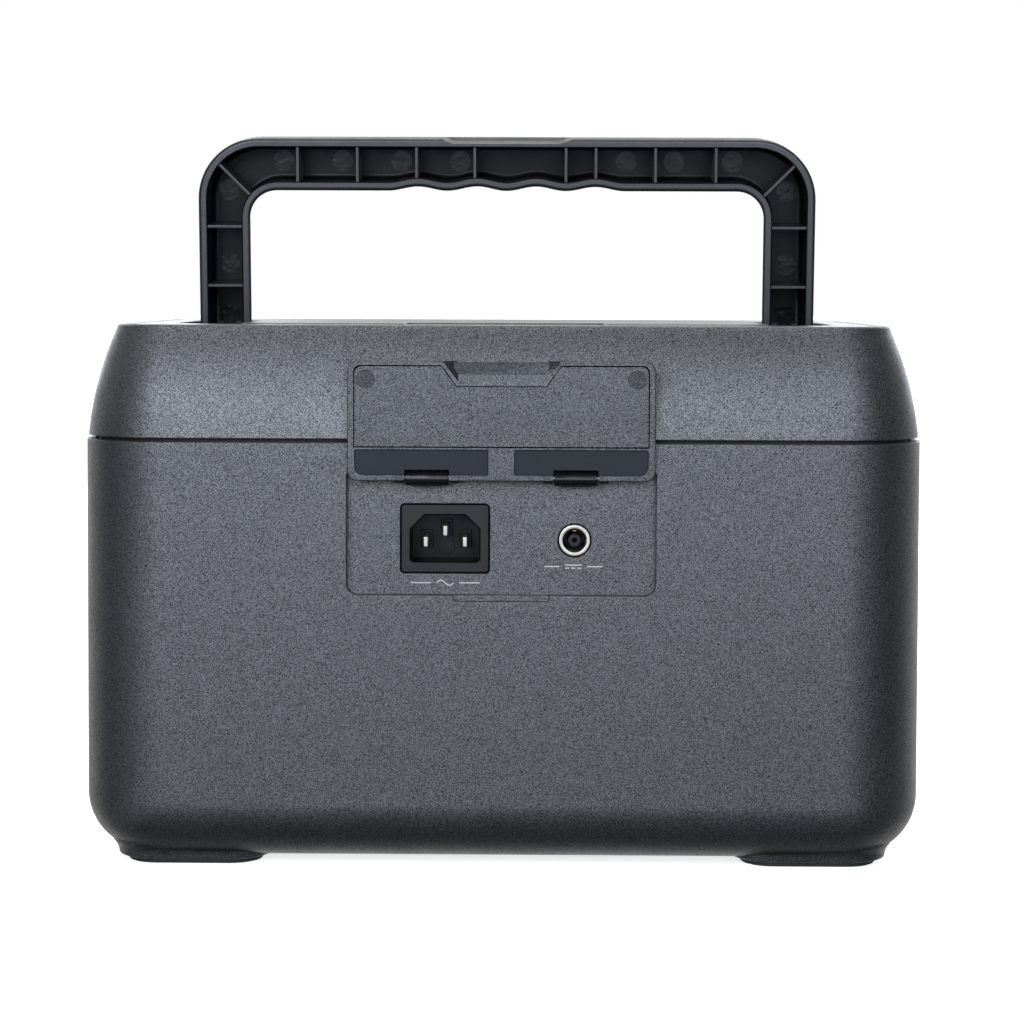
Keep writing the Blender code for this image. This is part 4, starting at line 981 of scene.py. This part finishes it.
def handle_loop(wall, low_z, draft=0.0):
    """The handle's outline from the rear, its sides drawn in by a wall and its legs by a draft too."""
    top = HANDLE_REACH - wall
    outer, r = HANDLE_HALF_WIDTH - wall, HANDLE_RADIUS - wall
    leg = HANDLE_HALF_WIDTH - LEG_WIDTH + wall + draft
    under = HANDLE_REACH - GRIP_HEIGHT + wall
    inner = INNER_RADIUS + wall
    loop = [(outer, low_z)] + arc((outer - r, top - r), r, 0, 1, 16) + arc((r - outer, top - r), r, 1, 2, 16)
    loop += [(-outer, low_z), (-leg, low_z)] + arc((inner - leg, under - inner), inner, 2, 1, 12)
    steps = 16 * FINGERS
    for step in range(steps + 1):
        x = FINGERS * FINGER_PITCH * (step / steps - 0.5)
        loop.append((x, under + finger_wave(x)))
    return loop + arc((leg - inner, under - inner), inner, 1, 0, 12) + [(leg, low_z)]


def thumb_ring(x, lift):
    """A section of the thumb rest's cutter. Its floor rises to the front, then turns up a wall."""
    floor = [(x, y, HANDLE_REACH + z + lift) for y, z in THUMB_SECTION]
    above = HANDLE_REACH + 5 * MM
    return [(x, floor[0][1], above), *floor, (x, floor[-1][1], above)]


def handle():
    """The grip is made upright and leaned over once it is whole."""
    h = HANDLE_HALF_DEPTH
    bottom = -h - 0.5 * MM
    (rear_in, rear_back), (front_in, front_back) = HANDLE_REAR_EDGE, HANDLE_FRONT_EDGE
    section = bend((0, h), rear_in, -rear_back, 6)[::-1] + bend((0, -h), front_in, front_back, 10)
    rings = []
    for inset, height in section:
        draft = LEG_DRAFT * (h - height) / (2 * h)
        rings.append([(x, y, height) for x, y in handle_loop(inset, bottom, draft)])
    grip = loft("handle_grip", rings, BLACK, location=HANDLE_AXIS, rotation=TO_REAR)
    deep = 2 * h - CHANNEL_WEB
    mouth = HANDLE_AXIS + vec(0, -h, 0)
    channel = lambda grow: handle_loop(CHANNEL_WALL - grow, CHANNEL_LOW - grow)
    # The channel's walls and floor take the darker channel colour: painted shade in the recess.
    carve(grip, channel, deep, 0.6 * MM, mouth, TO_REAR, CHANNEL_PAINTED_SHADE, foot=2 * MM)
    bar = HANDLE_REACH - GRIP_HEIGHT / 2
    leg = HANDLE_HALF_WIDTH - LEG_WIDTH / 2
    rib_deep = deep + RIB_SET_BACK
    rib_y = h - CHANNEL_WEB - deep / 2 + RIB_SET_BACK
    ribs = [((RIB, rib_deep, 16 * MM), (x, rib_y, bar), 0) for x in RIB_X]
    marks = [(x, bar + 0.4 * MM) for x in MARK_X]
    for turn in (-1, 1):
        ribs += [((16 * MM, rib_deep, RIB), (turn * leg, rib_y, height), 0) for height in RIB_HEIGHTS]
        corner = (turn * CORNER_RIB.x, rib_y, CORNER_RIB.y)
        ribs.append(((RIB, rib_deep, 19 * MM), corner, turn * RIGHT_ANGLE / 2))
        marks += [(turn * MARK_LEG_X, height) for height in MARK_HEIGHTS]
    join(grip, blocks("handle_ribs", ribs, BLACK, HANDLE_AXIS, 0.2 * MM))
    # The ejector marks take the dark mark colour, matching the channel's painted shade.
    for x, z in marks:
        spot = HANDLE_AXIS + vec(x, h - CHANNEL_WEB, z)
        cut(grip, rod("ejector", 4.2 * MM, 0.5 * MM, spot, "Y", EJECTOR_MARK_IN_SHADE, 40))
    round_end = [mm(-12, -12), mm(12, -12), mm(12, 0)] + arc((0, 0), h, 0, -2, 24) + [mm(-12, 0)]
    heel = plate("handle_heel", [round_end], 300 * MM, HANDLE_AXIS, TO_SIDE, BLACK)
    hole = rod("handle_hole", BUSH_RADIUS + 0.3 * MM, 300 * MM, HANDLE_AXIS, "X", BLACK)
    sections = [thumb_ring(x, lift) for x, lift in THUMB_STATIONS]
    cut(grip, heel, hole, loft("thumb_rest", sections, BLACK, location=HANDLE_AXIS))
    settle(grip)
    pivot = HANDLE_AXIS + BODY
    lean = Matrix.Rotation(HANDLE_LEAN, 4, "X")
    grip.data.transform(Matrix.Translation(pivot) @ lean @ Matrix.Translation(-pivot))
    piece(grip, "black_moulding", "handle", body="carry_handle")


# --- front panel ---


def front_panel():
    edge = vec(GAP, GAP)
    holes = [(rounded(DISPLAY_HALF, 3 * MM, 6), DISPLAY), (rounded(LAMP_HALF, LAMP_HALF.y - 0.1 * MM), LAMP)]
    holes += [(circle(AC_RADIUS + GAP), centre) for centre in AC_SOCKETS.values()]
    holes.append((circle(CAR_RADIUS + GAP), CAR_SOCKET))
    holes += [(rounded(USB_A_HALF + edge, 0.9 * MM, 4), centre) for centre in USB_A.values()]
    holes += [(rounded(USB_C_HALF + edge, 2 * MM, 6), centre) for centre in USB_C.values()]
    holes += [(circle(radius, 48), centre) for centre, radius, _ in BUTTONS.values()]
    loops = [rounded(FRONT_HALF - edge, FRONT_RADIUS - GAP)]
    loops += [[(centre[0] + x, centre[1] - FRONT_Z + y) for x, y in hole] for hole, centre in holes]
    middle = HALF_DEPTH - FRONT_THICK / 2
    panel = plate("front_plate", loops, FRONT_THICK, (0, middle, FRONT_Z), TO_FRONT, PANEL, 0.35 * MM)
    loops = [rounded(FRONT_HALF + mm(3, 3), FRONT_RADIUS), rounded(FRONT_HALF - mm(6, 5.5), 3 * MM)]
    join(panel, plate("flange", loops, 2.5 * MM, (0, 97.95 * MM, FRONT_Z), TO_FRONT, PANEL))
    width = 0.6 * MM
    for centre, half in ((AC_SOCKETS["left"] + mm(23, 0), mm(48, 27)), (mm(-62, 65), mm(47, 27))):
        loops = [rounded(half, 6 * MM), rounded(half - vec(width, width), 6 * MM - width)]
        # The group grooves' walls take the darker well colour: painted shade in the groove.
        cut(panel, plate("group_line", loops, width, front(centre, HALF_DEPTH), TO_FRONT, WELL_BLACK_AND_SHADE))
    piece(panel, "black_moulding", "front_panel")


def display_and_lamp():
    edge = vec(GAP, GAP)
    half = 1 * MM
    outline = rounded(DISPLAY_HALF - edge, 2.6 * MM, 6)
    spot = front(DISPLAY, HALF_DEPTH - half)
    window = plate("display_glass", [outline], 2 * half, spot, TO_FRONT, GLASS, 0.35 * MM)
    piece(window, "gloss_black", "display_window")
    half = 1.5 * MM
    outline = rounded(LAMP_HALF - edge, LAMP_HALF.y - GAP - 0.1 * MM)
    spot = front(LAMP, HALF_DEPTH - half)
    diffuser = plate("lamp_cover", [outline], 2 * half, spot, TO_FRONT, LENS, 0.6 * MM)
    for index in range(-8, 9):
        spot = front(LAMP + vec(index * 2.6 * MM, 0), HALF_DEPTH + 0.55 * MM)
        cut(diffuser, rod("flute", 1 * MM, 12 * MM, spot, "Z", LENS, 16))
    piece(diffuser, "lamp_lens", "lamp_lens")


def front_turn(name, profile, centre, material, sides=64):
    """A piece turned about an axis square to the front panel; height 0 is the panel's face."""
    return turned(name, profile, front(centre, HALF_DEPTH), (-RIGHT_ANGLE, 0, 0), material, sides)


def sockets():
    base, back, e = -17 * MM, -26 * MM, 0.6 * MM
    cup = [
        (0, base), (AC_WELL_RADIUS - e, base), (AC_WELL_RADIUS, base + e), (AC_WELL_RADIUS, -e),
        (AC_WELL_RADIUS + 0.3 * e, -0.3 * e), (AC_WELL_RADIUS + e, 0), (AC_RADIUS - e, 0),
        (AC_RADIUS - 0.3 * e, -0.3 * e), (AC_RADIUS, -e), (AC_RADIUS, back), (0, back),
    ]
    rail_y = HALF_DEPTH - 9.6 * MM
    for side, centre in AC_SOCKETS.items():
        socket = front_turn(f"socket_{side}", cup, centre, WELL_BLACK_AND_SHADE, 96)
        for u in (-9.5 * MM, 9.5 * MM):
            mouth = front(centre + vec(u, 0), HALF_DEPTH + base)
            carve(socket, lambda grow: circle(2.6 * MM + grow, 32), 6 * MM, 0.5 * MM, mouth, TO_FRONT, WELL_BLACK_AND_SHADE)
        for u, z, size, edge in SOCKET_RAILS:
            spot = front(centre + vec(u, z) * (AC_WELL_RADIUS - 0.4 * MM), rail_y)
            join(socket, block("rail", size, spot, WELL_BLACK_AND_SHADE, edge))
        piece(socket, "black_moulding", f"ac_socket_{side}")
        for way, turn in (("up", 1), ("down", -1)):
            spot = front(centre + Vector((0, turn * (AC_WELL_RADIUS - 2 * MM))), rail_y)
            tilt = (turn * radians(-4), 0, 0)
            clip = block(f"earth_clip_{side}_{way}", mm(3, 11, 0.8), spot, NICKEL, 0.25 * MM, tilt)
            piece(clip, "nickel")
    bore, back, e = -34 * MM, -37 * MM, 0.5 * MM
    tube = [
        (0, bore), (CAR_BORE, bore), (CAR_BORE, -e), (CAR_BORE + e, 0), (CAR_RADIUS - e, 0), (CAR_RADIUS, -e),
        (CAR_RADIUS, -2 * MM), mm(12.4, -2), (12.4 * MM, back), (0, back),
    ]
    car = front_turn("car_outlet", tube, CAR_SOCKET, WELL_BLACK_AND_SHADE)
    spot = front(CAR_SOCKET, HALF_DEPTH + bore + 1 * MM)
    join(car, rod("stud", 3 * MM, 3 * MM, spot, "Y", WELL_BLACK_AND_SHADE, 32, 0.4 * MM))
    piece(car, "black_moulding", "car_socket")
    out, thin = CAR_BORE - 0.1 * MM, CAR_BORE - 0.5 * MM
    liner = [(out, -9 * MM), (out, -32 * MM), (thin, -32 * MM), (thin, -9 * MM), (thin + 0.2 * MM, -8.8 * MM)]
    piece(front_turn("car_liner", liner, CAR_SOCKET, STEEL), "steel")


def usb_port(name, node_name, half, radius, centre, tongue, depth):
    wall = mm(0.45, 0.45)
    face = front(centre, HALF_DEPTH)
    middle = face - vec(0, depth / 2, 0)
    shell = plate(name, [rounded(half, radius, 6)], depth, middle, TO_FRONT, STEEL, 0.15 * MM)
    outline = grown(half - wall, max(radius - wall.x, 0.2 * MM), steps=5)
    carve(shell, outline, depth - 3 * MM, 0.12 * MM, face, TO_FRONT, STEEL)
    piece(shell, "steel", node_name)
    strip = block(f"{name}_tongue", tongue, face - vec(0, 1 * MM + tongue[1] / 2, 0), INSERT, 0.2 * MM)
    piece(strip, "black_moulding")


def usb_ports():
    for spot, centre in USB_A.items():
        name = f"usb_type_a_{spot}"
        usb_port(name, f"usb_a_{spot}", USB_A_HALF, 0.6 * MM, centre, mm(10.6, 11.6, 1.6), 14 * MM)
    for spot, centre in USB_C.items():
        name = f"usb_type_c_{spot}"
        usb_port(name, f"usb_c_{spot}", USB_C_HALF, 1.6 * MM, centre, mm(6.6, 6, 0.8), 9 * MM)


def buttons():
    for name, (centre, radius, body) in BUTTONS.items():
        shaft, flange, e = radius - GAP, radius + 1.2 * MM, 0.6 * MM
        shares = (0, 0.35, 0.65, 0.85, 1)
        profile = [(share * (shaft - e), BUTTON_PROUD - 0.35 * MM * (1 - share**2)) for share in shares] + [
            (shaft - 0.3 * e, BUTTON_PROUD - 0.15 * e), (shaft, BUTTON_PROUD - e), (shaft, -4.5 * MM),
            (flange, -4.5 * MM), (flange, -6 * MM), (0, -6 * MM),
        ]
        cap = front_turn(f"{name}_cap", profile, centre, BEZEL)
        piece(cap, "black_moulding", name, body=body)
        spot = front(centre, HALF_DEPTH + BUTTON_PROUD - 0.2 * MM)
        sign(f"{name}_sign", SYMBOLS[name], spot, 0.45 * MM, TO_FRONT, body, "black_moulding")


def ring_stroke(radius, start=0.0, end=4.0):
    return arc((0, 0), radius, start, end, 32)


def ray(turn):
    a = turn * pi / 4
    return pairs((1.9 * cos(a), 1.9 * sin(a)), (2.9 * cos(a), 2.9 * sin(a)))


SYMBOLS = {
    "power_button": [ring_stroke(2.6 * MM, 1.45, 4.55), pairs((0, 0.8), (0, 3.4))],
    "ac_button": [wave(0, 2.4 * MM, 0.9 * MM)],
    "dc_button": [dash(-2.4, 2.4, 0.6), dash(-2.4, -1.2, -0.6), dash(-0.6, 0.6, -0.6), dash(1.2, 2.4, -0.6)],
    "lamp_button": [ring_stroke(1.2 * MM)] + [ray(turn) for turn in range(8)],
}


# --- carried-over CAD nodes ---

CARRIED = {
    "seam_seal": RUBBER, "display_module": INSERT, "battery_tray": PANEL, "heat_sink": ALUMINIUM,
    "inverter_transformer": WINDING, "fan_frame": BLACK, "fan_rotor": BLACK,
}
CARRIED.update({f"{name}_board": BOARD for name in ("control", "battery", "inverter")})
CARRIED.update({f"battery_cell_{index}": WRAP for index in range(1, 9)})
for end in SIDES:
    CARRIED.update({f"hinge_pin_{end}": STEEL, f"handle_pin_{end}": STEEL, f"handle_bush_{end}": NICKEL})


def carried_over():
    for name, material in CARRIED.items():
        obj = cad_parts[name]
        if not obj.material_slots:
            obj.data.materials.append(material)
        for slot in obj.material_slots:
            slot.material = material
        soften(obj, 0.25 * MM, 40, 2)


# --- studio ---


def softbox(name, position, target, size, radiance, colour=(1, 1, 1)):
    """A rectangular light, whose strength is the brightness of its face."""
    data = bpy.data.lights.new(name, "AREA")
    data.shape = "RECTANGLE"
    data.size, data.size_y = size
    data.energy = radiance * size[0] * size[1] * pi
    data.color = colour
    made = link(name, data)
    made.location = position
    made.rotation_euler = (Vector(target) - Vector(position)).to_track_quat("-Z", "Y").to_euler()
    made.visible_camera = False


def seen_by_camera_only(obj):
    """A backdrop that neither lights the object nor shades it."""
    obj.visible_diffuse = obj.visible_glossy = obj.visible_transmission = obj.visible_shadow = False


WORLD_REAR = (0.18, 0.184, 0.195)
WORLD_SIDE = (0.03, 0.031, 0.033)
WORLD_BACK = (1.45, 1.44, 1.43)


def studio():
    scene = bpy.context.scene
    scene.view_settings.view_transform = "Standard"
    world = bpy.data.worlds.new("studio")
    scene.world = world
    world.use_nodes = True
    tree = world.node_tree
    heading = node(tree, "SeparateXYZ", Vector=node(tree, "TexCoord").outputs["Generated"]).outputs["Y"]
    share = calc(tree, "ADD", calc(tree, "MULTIPLY", heading, 0.5), 0.5)
    colour = ramp(tree, share, (0.05, WORLD_REAR), (0.4, WORLD_SIDE), (0.6, WORLD_SIDE), (0.9, WORLD_BACK))
    tree.links.new(colour, tree.nodes["Background"].inputs["Color"])

    bm = bmesh.new()
    bmesh.ops.create_circle(bm, cap_ends=True, segments=96, radius=20)
    floor = link("floor", mesh_of("floor", bm))
    made, tree, shader = finish("floor_pale_painted_shadow", (0.5, 0.5, 0.5), 0.8, Emission_Color=(1, 1, 1, 1))
    at = place(tree)
    # The floor's glow dims towards the housing's footprint: a painted contact shadow, on top of the real
    # shadow in its diffuse part.
    outside = node(tree, "VectorMath", operation="ABSOLUTE", Vector=at).outputs["Vector"]
    outside = node(tree, "VectorMath", operation="SUBTRACT", Vector=outside)
    outside.inputs[1].default_value = (HALF_WIDTH - 0.02, HALF_DEPTH - 0.02, 0)
    outside = node(tree, "VectorMath", operation="MAXIMUM", Vector=outside.outputs["Vector"])
    away = node(tree, "VectorMath", operation="LENGTH", Vector=outside.outputs["Vector"]).outputs["Value"]
    drive(shader, Emission_Strength=ramp(tree, calc(tree, "DIVIDE", away, 0.1), (0.0, 0.75), (0.5, 1.0)))
    drive(shader, Base_Color=ramp(tree, noise(tree, at, 0.5), (0.3, 0.48), (0.7, 0.52)))
    floor.data.materials.append(made)
    seen_by_camera_only(floor)

    bm = bmesh.new()
    bmesh.ops.create_icosphere(bm, subdivisions=3, radius=19)
    backdrop = link("backdrop", mesh_of("backdrop", bm))
    white = finish("backdrop_white", (0, 0, 0), 1.0, Emission_Color=(1, 1, 1, 1), Emission_Strength=1.0)
    backdrop.data.materials.append(white[0])
    seen_by_camera_only(backdrop)

    aim = (0, 0, 0.14)
    cool = (0.9, 0.97, 1.12)
    softbox("rear_left", (-0.46, -1.4, 0.6), aim, (0.6, 0.6), 17.5, cool)
    softbox("rear_right", (0.5, -1.4, 0.6), aim, (0.6, 0.6), 11.5, cool)
    softbox("rear_low", (0.02, -1.5, 0.04), (0, 0, 0.1), (1.3, 0.5), 2.4, cool)
    softbox("front_left", (-0.7, 1.5, 0.5), aim, (0.9, 0.75), 3.5, cool)
    softbox("front_right", (0.7, 1.5, 0.5), aim, (0.9, 0.75), 3.5, cool)
    softbox("top", (0, 0.1, 1.6), aim, (1.2, 1.0), 4.5)


def camera():
    data = bpy.data.cameras.new("camera")
    data.lens = 89.25
    data.sensor_width = 36
    data.shift_y = -0.1102
    made = link("camera", data)
    made.location = (0.0145, -1.0, 0.2094)
    aim = Matrix.Rotation(radians(0.69), 3, "Z") @ Matrix.Rotation(radians(87.5), 3, "X")
    made.rotation_euler = (aim @ Matrix.Rotation(radians(0.2), 3, "Z")).to_euler()
    bpy.context.scene.camera = made


lower_housing()
deck_rim = upper_housing()
top_deck(deck_rim)
feet()
vents()
port_panel()
ac_inlet()
dc_jack()
port_door()
door_hinges()
port_signs()
handle()
front_panel()
display_and_lamp()
sockets()
usb_ports()
buttons()
carried_over()
studio()
camera()
